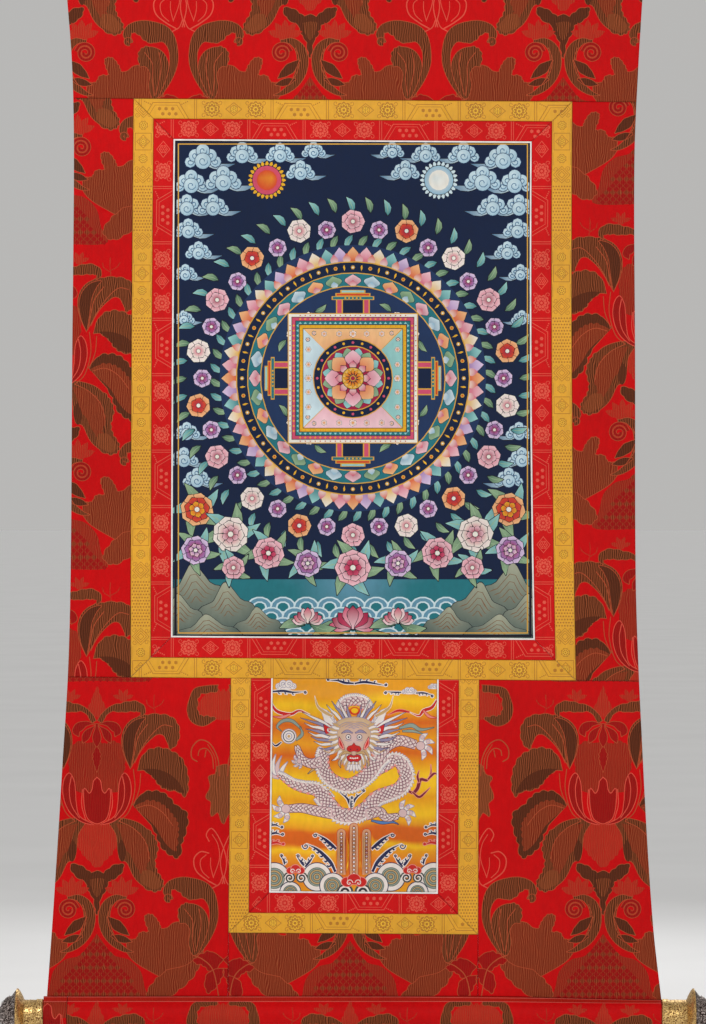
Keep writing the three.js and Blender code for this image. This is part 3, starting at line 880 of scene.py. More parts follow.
def grid_inside(outline, step):
    low, high = outline.min(axis=0), outline.max(axis=0)
    xs = np.arange(low[0] + step[0] / 2, high[0], step[0])
    ys = np.arange(low[1] + step[1] / 2, high[1], step[1])
    grid = np.array([(x, y) for y in ys for x in xs])
    if not len(grid):
        return np.empty((0, 2))
    grid = grid[inside(grid, outline)]
    return grid[edge_distance(grid, outline) > min(step) * 0.4] if len(grid) else grid


def hem_height(points, hem):
    """The extra thickness where an edge is turned back. hem holds a distance and a width for each hem."""
    height = np.zeros(len(points))
    for distance, width in hem:
        gap = distance(points)
        height = np.maximum(height, HEM_EXTRA * (1 - np.clip((gap - width) / HEM_STEP, 0, 1)))
    return height


def back_of(loop_points, outline, step, hem):
    """The plain back, on the same rim points and a wider grid, with rows of points at each hem's step."""
    parts = [loop_points, grid_inside(outline, (step[0] * 1.6, step[1] * 1.6))]
    for distance, width in hem:
        for offset in (width, width + HEM_STEP):
            row = outline + inward(outline) * offset
            row = row[np.abs(distance(row) - offset) < 0.2]
            parts.append(row[inside(row, outline)] if len(row) else row)
    flat, triangles, where = triangulate(np.vstack(parts), ring_edges(0, len(loop_points)))
    rim = where[: len(loop_points)].tolist()
    order = rim + sorted(set(range(len(flat))) - set(rim))
    renumber = np.empty(len(flat), int)
    renumber[order] = np.arange(len(flat))
    triangles = renumber[triangles]
    flat = flat[order]
    keep = inside(flat[triangles].mean(axis=1), loop_points)
    return flat, wound_alike(flat, triangles[keep])


BACK_SCALE = 0.45
MAP_MARGIN = 6.0


def bake_map(mesh, flat, triangles, back_flat, back_triangles, loop):
    """A flat map of the sheet: the front large, the rim folded out round it, and the back small beside it."""
    low = flat.min(axis=0)
    size = flat.max(axis=0) - low + 2 * MAP_MARGIN
    beside = min(1 / (size[0] * (1 + BACK_SCALE)), 1 / size[1])
    below = min(1 / size[0], 1 / (size[1] * (1 + BACK_SCALE)))
    scale = max(beside, below)
    shift = np.array([size[0], 0]) if beside >= below else np.array([0, size[1]])
    front_uv = (flat - low + MAP_MARGIN) * scale
    back_uv = ((back_flat - low + MAP_MARGIN) * BACK_SCALE + shift) * scale
    rim_points = flat[loop]
    folded_out = (rim_points - inward(rim_points) * CLOTH - low + MAP_MARGIN) * scale
    rim_uv = []
    rim_count = len(loop)
    for k in range(rim_count):
        after = (k + 1) % rim_count
        rim_uv += [front_uv[loop[k]], folded_out[k], folded_out[after], front_uv[loop[after]]]
    front_corners = front_uv[triangles].reshape(-1, 2)
    back_corners = back_uv[back_triangles[:, ::-1]].reshape(-1, 2)
    layer = mesh.uv_layers.new(name="OFBake")
    layer.data.foreach_set("uv", np.vstack([front_corners, back_corners, np.array(rim_uv)]).ravel())


def hung(x, depth, out):
    """Places flat cloth on the folds. out is towards the front."""
    return np.stack([x, -(out + fold_at(x, depth)), -depth], axis=1)


def corner_of(upright, level):
    """Where an upright and a level line meet."""
    depth = level(0.0)
    for _ in range(4):
        x = upright(depth)
        depth = level(x)
    return x, depth


def panel_outline(left, right, top, bottom, hemmed=(), step=8.0):
    """The outline between two upright and two level lines, with half a seam's gap left at each sewn side."""

    def eased(edge, side, hand):
        gap = 0 if side in hemmed else hand * SEWN_GAP / 2
        return lambda along: edge(along) + gap

    left, right = eased(left, "left", 1), eased(right, "right", -1)
    top, bottom = eased(top, "top", 1), eased(bottom, "bottom", -1)
    corners = [corner_of(left, top), corner_of(left, bottom), corner_of(right, bottom), corner_of(right, top)]
    points = []
    for k, edge in enumerate((left, bottom, right, top)):
        a, b = corners[k], corners[(k + 1) % 4]
        count = max(2, int(round(math.dist(a, b) / step)) + 1)
        way = k % 2
        for t in np.linspace(0, 1, count)[:-1]:
            along = a[1 - way] + (b[1 - way] - a[1 - way]) * t
            points.append((along, edge(along)) if way else (edge(along), along))
    return np.array(points, float)


# Materials

def fabric_group():
    """Woven threads: a height for bump, and a shade for the colour, lighter on the threads' crests and darker
    in the hollows between them as painted shade, with uneven tone from thread to thread.
    """
    group = bpy.data.node_groups.new("woven threads", "ShaderNodeTree")
    add_socket(group, "INPUT", "Warp pitch", 0.0007)
    add_socket(group, "INPUT", "Weft pitch", 0.0007)
    add_socket(group, "INPUT", "Unevenness", 0.5)
    add_socket(group, "OUTPUT", "Height", 0.0)
    add_socket(group, "OUTPUT", "Shade", 0.0)
    nodes, links = group.nodes, group.links
    inputs = nodes.new("NodeGroupInput")
    outputs = nodes.new("NodeGroupOutput")
    coords = nodes.new("ShaderNodeTexCoord")
    split = nodes.new("ShaderNodeSeparateXYZ")
    links.new(coords.outputs["Object"], split.inputs[0])

    def math_node(operation, a, b=None):
        node = nodes.new("ShaderNodeMath")
        node.operation = operation
        for socket, value in zip(node.inputs, (a, b)):
            if value is None:
                continue
            if isinstance(value, (int, float)):
                socket.default_value = value
            else:
                links.new(value, socket)
        return node.outputs[0]

    def ridge(axis, pitch):
        turns = math_node("DIVIDE", split.outputs[axis], inputs.outputs[pitch])
        return math_node("ABSOLUTE", math_node("SINE", math_node("MULTIPLY", turns, math.pi)))

    warp = ridge("X", "Warp pitch")
    weft = ridge("Z", "Weft pitch")
    noise = nodes.new("ShaderNodeTexNoise")
    stretch = nodes.new("ShaderNodeMapping")
    stretch.inputs["Scale"].default_value = (900, 200, 60)
    links.new(coords.outputs["Object"], stretch.inputs["Vector"])
    links.new(stretch.outputs[0], noise.inputs["Vector"])
    noise.inputs["Scale"].default_value = 1.0
    noise.inputs["Detail"].default_value = 2.0
    height = math_node("MULTIPLY", math_node("ADD", warp, math_node("MULTIPLY", weft, 0.6)), 0.6)
    uneven = math_node("MULTIPLY", math_node("SUBTRACT", noise.outputs[0], 0.5), inputs.outputs["Unevenness"])
    links.new(math_node("ADD", height, uneven), outputs.inputs["Height"])
    # Shade: painted shade, lighter on the threads' crests and darker between them, plus the uneven tone
    shade = math_node("ADD", math_node("MULTIPLY", height, 0.35), math_node("MULTIPLY", uneven, 0.9))
    links.new(shade, outputs.inputs["Shade"])
    return group


def add_socket(group, way, name, value, kind="NodeSocketFloat"):
    socket = group.interface.new_socket(name=name, in_out=way, socket_type=kind)
    if way == "INPUT":
        socket.default_value = value


THREADS = fabric_group()


class Finish:
    """A material under a maker's name, with short ways to add and join its nodes."""

    def __init__(self, name):
        self.material = bpy.data.materials.new(name)
        self.material.use_nodes = True
        self.nodes = self.material.node_tree.nodes
        self.links = self.material.node_tree.links
        self.shader = self.nodes["Principled BSDF"]

    def set(self, **values):
        for key, value in values.items():
            self.shader.inputs[key.replace("_", " ")].default_value = value
        return self

    def node(self, kind, inputs=None, **settings):
        node = self.nodes.new(kind)
        for key, value in settings.items():
            setattr(node, key, value)
        for key, value in (inputs or {}).items():
            self.feed(value, node.inputs[key])
        return node

    def feed(self, value, socket):
        if isinstance(value, bpy.types.NodeSocket):
            self.links.new(value, socket)
        else:
            socket.default_value = value

    def math(self, operation, a, b=0.0, clamp=False):
        return self.node("ShaderNodeMath", {0: a, 1: b}, operation=operation, use_clamp=clamp).outputs[0]

    def mix(self, share, a, b, blend="MIX"):
        node = self.node("ShaderNodeMix", data_type="RGBA", blend_type=blend)
        self.feed(share, node.inputs["Factor"])
        self.feed(a, node.inputs[6])
        self.feed(b, node.inputs[7])
        return node.outputs[2]

    def object_point(self):
        return self.node("ShaderNodeTexCoord").outputs["Object"]

    def noise(self, scale, detail=3.0, stretch=(1, 1, 1)):
        mapping = self.node("ShaderNodeMapping", {"Vector": self.object_point(), "Scale": stretch})
        settings = {"Vector": mapping.outputs[0], "Scale": scale, "Detail": detail}
        return self.node("ShaderNodeTexNoise", settings).outputs[0]

    def ramp(self, value, low, high, start=0.0, end=1.0):
        settings = {"Value": value, "From Min": low, "From Max": high, "To Min": start, "To Max": end}
        return self.node("ShaderNodeMapRange", settings).outputs[0]

    def bump(self, height, distance, strength=1.0):
        node = self.node("ShaderNodeBump", {"Height": height, "Distance": distance, "Strength": strength})
        self.links.new(node.outputs[0], self.shader.inputs["Normal"])

    def colour(self, value):
        self.feed(value, self.shader.inputs["Base Color"])

    def rough(self, value):
        self.feed(value, self.shader.inputs["Roughness"])


def woven(name, warp, weft, uneven=0.5, shade=0.3, rough=0.5, sheen=0.2, specular=0.25, hatch=None,
          distance=0.0002):
    """A dyed cloth that takes its colours from the dye attribute and its figure weave from figure."""
    finish = Finish(name)
    finish.set(Sheen_Weight=sheen, Sheen_Roughness=0.4, Specular_IOR_Level=specular)
    threads = finish.node("ShaderNodeGroup", node_tree=THREADS)
    for socket, value in (("Warp pitch", warp), ("Weft pitch", weft), ("Unevenness", uneven)):
        threads.inputs[socket].default_value = value
    dye = finish.node("ShaderNodeAttribute", attribute_name="dye").outputs["Color"]
    figure = finish.node("ShaderNodeAttribute", attribute_name="figure").outputs["Fac"]
    broad = finish.noise(7, 3)
    fine = finish.noise(140, 2, (1, 1, 0.5))
    worn = finish.math("ADD", finish.math("MULTIPLY", broad, 0.35), finish.math("MULTIPLY", fine, 0.25))
    # The dye is darkened by the threads' painted shade and by random uneven tone
    light = finish.math("ADD", finish.math("MULTIPLY", threads.outputs["Shade"], shade), worn)
    light = finish.ramp(light, 0.2, 0.75, 0.72, 1.22)
    colour = finish.mix(1.0, dye, grey(finish, light), "MULTIPLY")
    height = threads.outputs["Height"]
    if hatch:
        wave = hatch_lines(finish, hatch["pitch"])
        share = finish.math("MULTIPLY", finish.math("MULTIPLY", wave, figure), hatch["share"])
        colour = finish.mix(share, colour, hatch["colour"])
        height = finish.math("ADD", height, finish.math("MULTIPLY", share, 1.2))
    finish.colour(colour)
    finish.rough(finish.ramp(finish.math("ADD", fine, figure), 0.2, 1.6, rough - 0.06, rough + 0.14))
    finish.bump(height, distance)
    return finish.material


def grey(finish, value):
    node = finish.node("ShaderNodeCombineColor", {0: value, 1: value, 2: value})
    return node.outputs[0]


def hatch_lines(finish, pitch):
    """Fine upright wavy lines."""
    mapping = finish.node("ShaderNodeMapping", {"Vector": finish.object_point(), "Scale": (1, 1, 0.45)})
    wave = finish.node(
        "ShaderNodeTexWave",
        {"Vector": mapping.outputs[0], "Scale": 2 * math.pi / (20 * pitch), "Distortion": 11.0, "Detail": 1.0,
         "Detail Scale": 0.55},
        wave_type="BANDS", bands_direction="X",
    )
    return finish.ramp(wave.outputs["Fac"], 0.45, 0.85)


def solid(name, colour, rough, metal=0.0, specular=0.4):
    finish = Finish(name)
    finish.set(Metallic=metal, Specular_IOR_Level=specular)
    spots = finish.noise(60, 3)
    light = finish.ramp(spots, 0.3, 0.7, 0.85, 1.1)
    finish.colour(finish.mix(1.0, (*colour, 1), grey(finish, light), "MULTIPLY"))
    finish.rough(finish.ramp(spots, 0.3, 0.7, rough - 0.05, rough + 0.08))
    finish.bump(finish.noise(800, 2), 0.0001)
    return finish.material


FRONT_DAMASK = woven(
    "red damask", 0.0007, 0.0009, rough=0.5, sheen=0.03, specular=0.08,
    hatch={"pitch": 0.0024, "share": 0.62, "colour": (0.40, 0.10, 0.035, 1)},
)
BACK_DAMASK = woven("damask reverse", 0.0008, 0.0011, shade=0.6, rough=0.65, specular=0.15)
GOLD_BROCADE = woven("gold brocade", 0.0006, 0.0008, rough=0.42, sheen=0.2, specular=0.35)
RED_BORDER = woven("red border brocade", 0.0006, 0.0008, rough=0.5, sheen=0.04, specular=0.1)
PAINTED = woven("painted cotton", 0.0006, 0.0006, uneven=0.3, shade=0.12, rough=0.75, sheen=0.0, specular=0.2)
CANVAS = solid("primed cotton reverse", (0.62, 0.52, 0.38), 0.85)
SATIN = woven(
    "gold satin", 0.00035, 0.0005, uneven=0.25, shade=0.15, rough=0.34, sheen=0.04, distance=0.00008
)
PIPING = solid("pale silk piping", (0.82, 0.78, 0.75), 0.5)
WOOD = solid("plain rod wood", (0.3, 0.16, 0.08), 0.6)


# The ground cloth

def distance_to(upright):
    """How far points (x, -depth) are from an upright line."""

    def distance(points):
        return np.abs(points[:, 0] - np.array([upright(-y) for y in points[:, 1]]))

    return distance


def below_top(points):
    return np.abs(points[:, 1])


def finish_piece(obj, node, slot, flat=None, area=None):
    """Puts a piece in its node's place. flat and area, in mm, are the size that a sheet is cut to; they are
    turned into metres and not used further.
    """
    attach(obj, "root")
    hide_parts(node)
    if flat is not None:
        flat = tuple(float(length) * MM for length in flat)
        area = float(area) * MM * MM if area else None
    return obj


GROUND_PIECES = [
    # node, left, right, top, bottom, hemmed sides, damask axis and crown in photo pixels
    (
        "brocade_top", cloth_left, cloth_right, lambda x: 0.0, picture.top, ("left", "right", "top"),
        (310, -176.5)
    ),
    ("brocade_left", cloth_left, picture.left, picture.top, picture.bottom, ("left",), (53, 243)),
    ("brocade_right", picture.right, cloth_right, picture.top, picture.bottom, ("right",), (647, 203)),
    ("brocade_lower_left", cloth_left, door.left, picture.bottom, sleeve_seam, ("left",), (97, 680)),
    ("brocade_lower_right", door.right, cloth_right, picture.bottom, sleeve_seam, ("right",), (603, 680)),
    ("brocade_lower_middle", door.left, door.right, door.bottom, sleeve_seam, (), (350, 1012)),
]


def in_mm(x_px, y_px):
    return (x_px - MIDDLE_X_PX) * MM_PER_PX, (y_px - TOP_EDGE_PX) * MM_PER_PX


def make_ground_cloth():
    for node, left, right, top, bottom, hemmed, phase in GROUND_PIECES:
        outline = panel_outline(left, right, top, bottom, hemmed)
        low, high = outline.min(axis=0), outline.max(axis=0)
        drawing = damask_on((*low, *high), *in_mm(*phase))
        all_hems = {
            "left": (distance_to(left), SIDE_HEM),
            "right": (distance_to(right), SIDE_HEM),
            "top": (below_top, TOP_HEM),
        }
        obj = cloth(
            node.replace("brocade", "ground"), outline, drawing, "ground red", hung, (11, 9),
            (FRONT_DAMASK, BACK_DAMASK), hem=[all_hems[side] for side in hemmed],
        )
        width, length = high - low
        width += SIDE_HEM * (("left" in hemmed) + ("right" in hemmed))
        length += TOP_HEM * ("top" in hemmed)
        finish_piece(obj, node, "red_brocade", flat=(width, length))


make_ground_cloth()


# Borders: mitred strips round the painting and the satin panel

LEVEL_SIDES = ("top", "bottom")


def at_inset(lines, side, inset):
    return lambda along: getattr(lines, side)(along, inset)


def strip_edge(lines, side, inset, top_line):
    """One edge of a mitred strip, and where along it the strip starts and ends."""
    edge = at_inset(lines, side, inset)
    if side in LEVEL_SIDES:
        start, end = (corner_of(at_inset(lines, other, inset), edge)[0] for other in ("left", "right"))
    else:
        start, end = (corner_of(edge, at_inset(lines, other, inset))[1] for other in LEVEL_SIDES)
    mitre = SEWN_GAP / 2 * math.sqrt(2)
    start += mitre
    end -= mitre
    if top_line and side not in LEVEL_SIDES:
        start = top_line(edge(end)) + SEWN_GAP / 2
    return edge, start, end


def strip_outline(lines, side, start_inset, end_inset, top_line=None, step=8.0):
    """The outline of a mitred strip, outer edge first, and its two edges."""
    edges = []
    count = 0
    for inset in (start_inset + SEWN_GAP / 2, end_inset - SEWN_GAP / 2):
        edge, start, end = strip_edge(lines, side, inset, top_line)
        count = count or int(abs(end - start) / step) + 2
        way = [start + (end - start) * t for t in np.linspace(0, 1, count)]
        edges.append([(along, edge(along)) if side in LEVEL_SIDES else (edge(along), along) for along in way])
    return np.array(edges[0] + edges[1][::-1], float), edges


def strip_place(lines, side, inset_middle):
    """Turns (along, across) of a strip into (x, depth). across is 0 on the strip's middle line, + inwards."""

    def to(points):
        placed = []
        for along, across in points:
            off = getattr(lines, side)(along, inset_middle + across)
            placed.append((along, off) if side in LEVEL_SIDES else (off, along))
        return np.array(placed)

    return to


def rosette(x, y, radius, petals, dye, core):
    drawn = [(blossom(x, y, radius, petals), dye), (blossom(x, y, radius * 0.8, petals), core)]
    for k in range(petals):
        a = 2 * math.pi * (k + 0.5) / petals
        drawn.append((frond([polar(x, y, radius * share, a) for share in (0.25, 0.72)], radius * 0.3), dye))
    drawn.append((disc(x, y, radius * 0.18, count=8), dye))
    return drawn


def polyline(points, width, dye, closed=False):
    """Straight strokes through the points."""
    drawn = []
    for a, b in zip(points, points[1:] + (points[:1] if closed else [])):
        spine = np.array([a, b], float)
        run = (spine[1] - spine[0]) / max(np.linalg.norm(spine[1] - spine[0]), 1e-6) * width / 2
        spine = np.array([spine[0] - run, spine[1] + run])
        drawn.append((ribbon(spine, np.full(2, width / 2)), dye))
    return drawn


BORDER_REPEAT = 181.0
HALF_BAND = 13.2
FOUR_CORNERS = [(-1, -1), (-1, 1), (1, -1), (1, 1)]


def border_repeat(line_dye, light_dye):
    """One repeat of the border brocade, along x from 0 to BORDER_REPEAT and across y."""
    drawn = []
    for x in (2, 5, 107, 110):
        drawn += polyline([(x, -HALF_BAND), (x, HALF_BAND)], 0.9, line_dye)
    # The block of two flowers with a small motif between them
    for x in (26, 86):
        drawn += rosette(x, 0, 11.5, 10, line_dye, light_dye)
        for sx, sy in FOUR_CORNERS:
            curl = spiral(x + sx * 11, sy * 9, 4, 1, 90 + 90 * sx, 1.1 * sx * sy)
            drawn.append((line(curl, 0.8, 14), line_dye))
    drawn += polyline([(56, -9), (67, 0), (56, 9), (45, 0)], 0.9, line_dye, closed=True)
    drawn += rosette(56, 0, 6.0, 6, line_dye, light_dye)
    # The panel with slanting ends
    drawn += polyline([(113, HALF_BAND), (126, -8.5), (162, -8.5), (175, HALF_BAND)], 1.0, line_dye)
    drawn += polyline([(118, HALF_BAND), (129, -5), (159, -5), (170, HALF_BAND)], 0.7, line_dye)
    for x in (135, 144, 153):
        for y in (0, 7):
            drawn.append((blossom(x + (4.5 if y else 0), y, 2.6, 6), line_dye))
    for x0, hand in ((113, 1), (175, -1)):
        for k in range(4):
            drawn.append((disc(x0 + hand * (1.5 + 2.6 * k), -10 + 1.2 * k, 1.0, count=6), line_dye))
    return drawn


def upright_repeat(line_dye, light_dye):
    """The same brocade cut the other way: blocks, flowers and interlaced diamonds down the strip."""
    drawn = polyline([(2, -11), (25, -11), (25, 11), (2, 11)], 0.9, line_dye, closed=True)
    drawn += polyline([(4.5, 0), (13.5, -9), (22.5, 0), (13.5, 9)], 0.8, line_dye, closed=True)
    drawn += rosette(13.5, 0, 6.0, 8, line_dye, light_dye)
    for x in (37, 172):
        drawn += rosette(x, 0, 6.5, 8, line_dye, light_dye)
        for y in (-12, 12):
            drawn += polyline([(x - 8.5, y), (x + 8.5, y)], 0.6, line_dye)
    for x in (59, 150):
        for reach in (11.5, 8.0, 4.5):
            corners = [(x - reach, 0), (x, -reach), (x + reach, 0), (x, reach)]
            drawn += polyline(corners, 0.8, line_dye, closed=True)
        for sx, sy in FOUR_CORNERS:
            curl = spiral(x + sx * 8, sy * 8.5, 3.6, 1, 90, 1.2 * sx * sy)
            drawn.append((line(curl, 0.7, 12), line_dye))
    for row in range(15):
        for column in range(-3, 4):
            x = 75 + 4.3 * row
            y = 3.8 * column + (1.9 if row % 2 else 0)
            if abs(y) < 12.5:
                drawn.append((blossom(x, y, 1.35, 4), line_dye))
    return drawn


BORDER_BANDS = [
    # name, from, to, ground, line, light, material, slot
    ("gold", 0, GOLD_END, "gold", "gold line", "gold bright", GOLD_BROCADE, "gold_brocade"),
    ("red", GOLD_END, RED_END, "border red", "border line", "border red", RED_BORDER, "red_border"),
]
UPRIGHT_SHIFT = 60


def border_drawing(lines, side, band, phase, low, high, middle, line_dye, light_dye):
    level = side in LEVEL_SIDES
    repeat = (border_repeat if level or band == "red" else upright_repeat)(line_dye, light_dye)
    shift = phase if level else phase + UPRIGHT_SHIFT
    drawing = []
    for k in range(math.floor((low - shift) / BORDER_REPEAT), math.ceil((high - shift) / BORDER_REPEAT) + 1):
        drawing += shifted(repeat, shift + k * BORDER_REPEAT, 0)
    return moved(drawing, strip_place(lines, side, middle))


def make_frame(prefix, lines, sides, phases, top_line=None):
    for band, start, end, ground, line_dye, light_dye, material, slot in BORDER_BANDS:
        for side in sides:
            outline, _ = strip_outline(lines, side, start, end, top_line)
            along = outline[:, 0 if side in LEVEL_SIDES else 1]
            low, high = along.min(), along.max()
            middle = (start + end) / 2
            drawing = border_drawing(lines, side, band, phases[band], low, high, middle, line_dye, light_dye)
            node = f"{prefix}_{band}_{side}"
            obj = cloth(
                f"{node}_border", outline, drawing, ground, hung, (9, 7), (material, material), roll=1.1
            )
            width, length = end - start, high - low
            area = min(abs(signed_area(outline)), width * length)
            finish_piece(obj, node, slot, flat=(width, length), area=area)


make_frame("picture", picture, ("top", "bottom", "left", "right"), {"gold": -40.0, "red": -72.0})
make_frame("door", door, ("left", "right", "bottom"), {"gold": 14.0, "red": 60.0}, picture.bottom)


# Piping: a thin round cord in a silk strip, standing a little proud

PIPING_PROFILE = [
    # share of the way inwards, height over the cloth's middle
    (0.0, -0.7), (0.0, 0.55), (0.16, 0.95), (0.5, 1.15), (0.84, 0.95), (1.0, 0.55), (1.0, -0.7),
]


def make_piping(prefix, lines, side, top_line=None):
    _, edges = strip_outline(lines, side, RED_END, PIPING_END, top_line, step=6.0)
    outer, inner = (np.array(edge, float) for edge in edges)
    share, out = np.array(PIPING_PROFILE).T
    x, depth = (outer[:, None] + (inner - outer)[:, None] * share[None, :, None]).reshape(-1, 2).T
    vertices = hung(x, depth, np.tile(out, len(outer))) * MM
    around = len(PIPING_PROFILE)
    last = (len(outer) - 1) * around
    faces = []
    for ring in range(0, last, around):
        for k in range(around):
            a, b = ring + k, ring + (k + 1) % around
            faces.append((a, b, b + around, a + around))
    faces.append(tuple(range(around))[::-1])
    faces.append(tuple(last + k for k in range(around)))
    node = f"{prefix}_piping_{side}"
    mesh = bpy.data.meshes.new(node)
    mesh.from_pydata(vertices.tolist(), [], faces)
    obj = bpy.data.objects.new(f"{node}_cord", mesh)
    bpy.context.collection.objects.link(obj)
    mesh.materials.append(PIPING)
    turn_outwards(mesh)
    mesh.polygons.foreach_set("use_smooth", [True] * len(mesh.polygons))
    mesh.set_sharp_from_angle(angle=math.radians(50))
    return finish_piece(obj, node, "piping")


def turn_outwards(mesh):
    work = bmesh.new()
    work.from_mesh(mesh)
    bmesh.ops.recalc_face_normals(work, faces=work.faces)
    work.to_mesh(mesh)
    work.free()


picture_piping = [make_piping("picture", picture, side) for side in ("top", "bottom", "left", "right")]
door_piping = [make_piping("door", door, side, picture.bottom) for side in ("left", "right", "bottom")]


# The satin panel's woven dragon, in mm from the panel's middle line and top edge

SATIN_WIDTH = 225.0
SATIN_HEIGHT = 292.0
NAVY_EDGE = 0.9


def edged(points_of, dye, edge="silk navy", grow=NAVY_EDGE):
    """A shape over a slightly larger one. points_of takes how much to grow."""
    return [(points_of(grow), edge), (points_of(0.0), dye)]


def tongue(knots, width, dye, edge="silk navy", fullest=0.4, root=0.6, lobes=0, grow=NAVY_EDGE):
    """A flame, hair lock, horn or claw, wide at its root."""
    return edged(lambda more: frond(knots, width, lobes, 0.25, fullest, root, more), dye, edge, grow)


def scale_rows(spine, widths, dye, inner):
    """Rows of pointed scales with pale hearts across a body."""
    drawn = []
    side = sideways(spine)
    ahead = np.stack([side[:, 1], -side[:, 0]], axis=1)
    travelled = np.concatenate([[0], np.cumsum(np.linalg.norm(np.diff(spine, axis=0), axis=1))])
    for row, distance in enumerate(np.arange(1.5, travelled[-1], 3.3)):
        k = int(np.searchsorted(travelled, distance))
        count = max(2, int(round(widths[k] * 0.92 / 5.2)))
        pitch = widths[k] * 0.92 / count
        for place in range(count + 1):
            across = (place - count / 2 + (0.5 if row % 2 else 0)) * pitch
            if abs(across) > widths[k] * 0.44:
                continue
            middle = spine[k] + side[k] * across
            left, right = middle + side[k] * pitch / 2, middle - side[k] * pitch / 2
            tip = middle + ahead[k] * 3.3
            drawn.append((disc(*(middle + ahead[k] * 0.9), 1.25, count=6), inner))
            drawn.append((line([left, middle + ahead[k] * 2.3 + side[k] * pitch * 0.3, tip,
                                middle + ahead[k] * 2.3 - side[k] * pitch * 0.3, right], 0.75, 7), dye))
    return drawn


def body_stretch(knots, start_width, end_width, fin=1, fringe=True):
    """A length of the dragon, with a pale fringe on one edge and red and dark bits on the other."""
    spine = curve(knots, 10 * len(knots))
    widths = np.linspace(start_width, end_width, len(spine))
    side = sideways(spine) * fin
    edge = spine + side * (widths * 0.5)[:, None]
    drawn = []
    for k in range(1, len(spine) - 2, 2 if fringe else 99):
        root = spine[k] + side[k] * widths[k] * 0.42
        tip = edge[k] + side[k] * 3.2 + (spine[k + 1] - spine[k - 1]) * 0.8
        drawn += tongue([root, tip], 3.6, "silk white", "silk dusk", root=0.9, grow=0.5)
    drawn.append((ribbon(spine, widths / 2 + 0.8), "silk plum"))
    drawn.append((ribbon(spine, widths / 2), "silk shell"))
    drawn += scale_rows(spine, widths, "silk plum", "silk white")
    if fringe:
        drawn.append((ribbon(edge, np.full(len(spine), 0.8)), "silk white"))
        under = spine - side * (widths * 0.49)[:, None]
        for k in range(2, len(spine) - 4, 6):
            drawn.append(
                (frond(under[k:k + 4], 3.6, root=0.4), ("silk red", "silk plum", "silk pink")[k % 3])
            )
    return drawn


def claw(x, y, aim, size):
    """A paw with four hooked toes. aim is in degrees, 0 to the right and 90 down."""
    drawn = []
    for spread in (-78, -30, 18, 66):
        a = math.radians(aim + spread)
        b = math.radians(aim + spread + 42)
        middle = (x + size * 0.7 * math.cos(a), y + size * 0.7 * math.sin(a))
        tip = (middle[0] + size * 0.5 * math.cos(b), middle[1] + size * 0.5 * math.sin(b))
        drawn += tongue([(x, y), middle, tip], size * 0.36, "silk white", "silk dusk", 0.5, 0.7, grow=0.7)
        drawn += edged(lambda more: disc(*middle, size * 0.16 + more), "silk shell", "silk dusk", 0.5)
    drawn += edged(lambda more: disc(x, y, size * 0.34 + more), "silk shell", "silk plum", 0.6)
    return drawn


def curl_cloud(x, y, size):
    """A pale cloud of four curls."""
    drawn = []
    puffs = [(-1.1, 0.2, 0.45), (1.1, 0.2, 0.45), (-0.4, -0.15, 0.55), (0.45, -0.15, 0.55)]
    drawn += edged(
        lambda more: disc(x, y + size * 0.4, size * 1.35 + more, 0.25), "silk white", "silk dusk", 0.6
    )
    for dx, dy, share in puffs:
        drawn += edged(
            lambda more: disc(x + dx * size, y + dy * size, share * size + more), "silk white",
            "silk dusk", 0.6
        )
        knots = spiral(
            x + dx * size, y + dy * size, share * size * 0.7, size * 0.08, 90, 1.2 if dx < 0 else -1.2
        )
        drawn.append((line(knots, 0.8, 16), "silk dusk"))
    return drawn


def surf(knots, width, hand=1, hooks=4, curl=3.4, dye="silk navy", edge="silk white"):
    """A branching tongue with hooked fingers on one side and a curled end."""
    spine = curve(knots, 30)
    side = sideways(spine) * hand
    parts = [lambda more: frond(knots, width, 0, 0, 0.35, 0.75, more)]
    for k in range(hooks):
        at = 6 + int(20 * k / max(1, hooks))
        ahead = (spine[at + 2] - spine[at]) / max(0.1, np.linalg.norm(spine[at + 2] - spine[at]))
        reach = width * (1.05 - 0.12 * k)
        hook = [
            spine[at], spine[at] + side[at] * reach, spine[at] + side[at] * reach * 1.25 + ahead * reach * 0.8
        ]
        parts.append(lambda more, hook=hook: frond(hook, width * 0.5, 0, 0, 0.4, 0.8, more))
    if curl:
        knots_in = spiral(*(spine[-1] + side[-1] * curl * 0.8), curl, 0.8, 200, 1.1 * hand)
        parts.append(lambda more: line(knots_in, 1.5 + 2 * more, 14))
    return [(part(1.1), edge) for part in parts] + [(part(0.0), dye) for part in parts]


def wave_rings(x, y, radius):
    """Rings of sea, set at the panel's foot so that only their upper halves show."""
    drawn = [(disc(x, y, radius, count=40), "silk navy"), (disc(x, y, radius - 1.2, count=40), "silk white")]
    for k in range(5):
        share = radius * (0.66 - 0.125 * k)
        drawn.append((disc(x, y, share, count=32), "silk moss"))
        drawn.append((disc(x, y, share - 1.0, count=32), "silk tan" if k % 2 else "silk reed"))
    return drawn


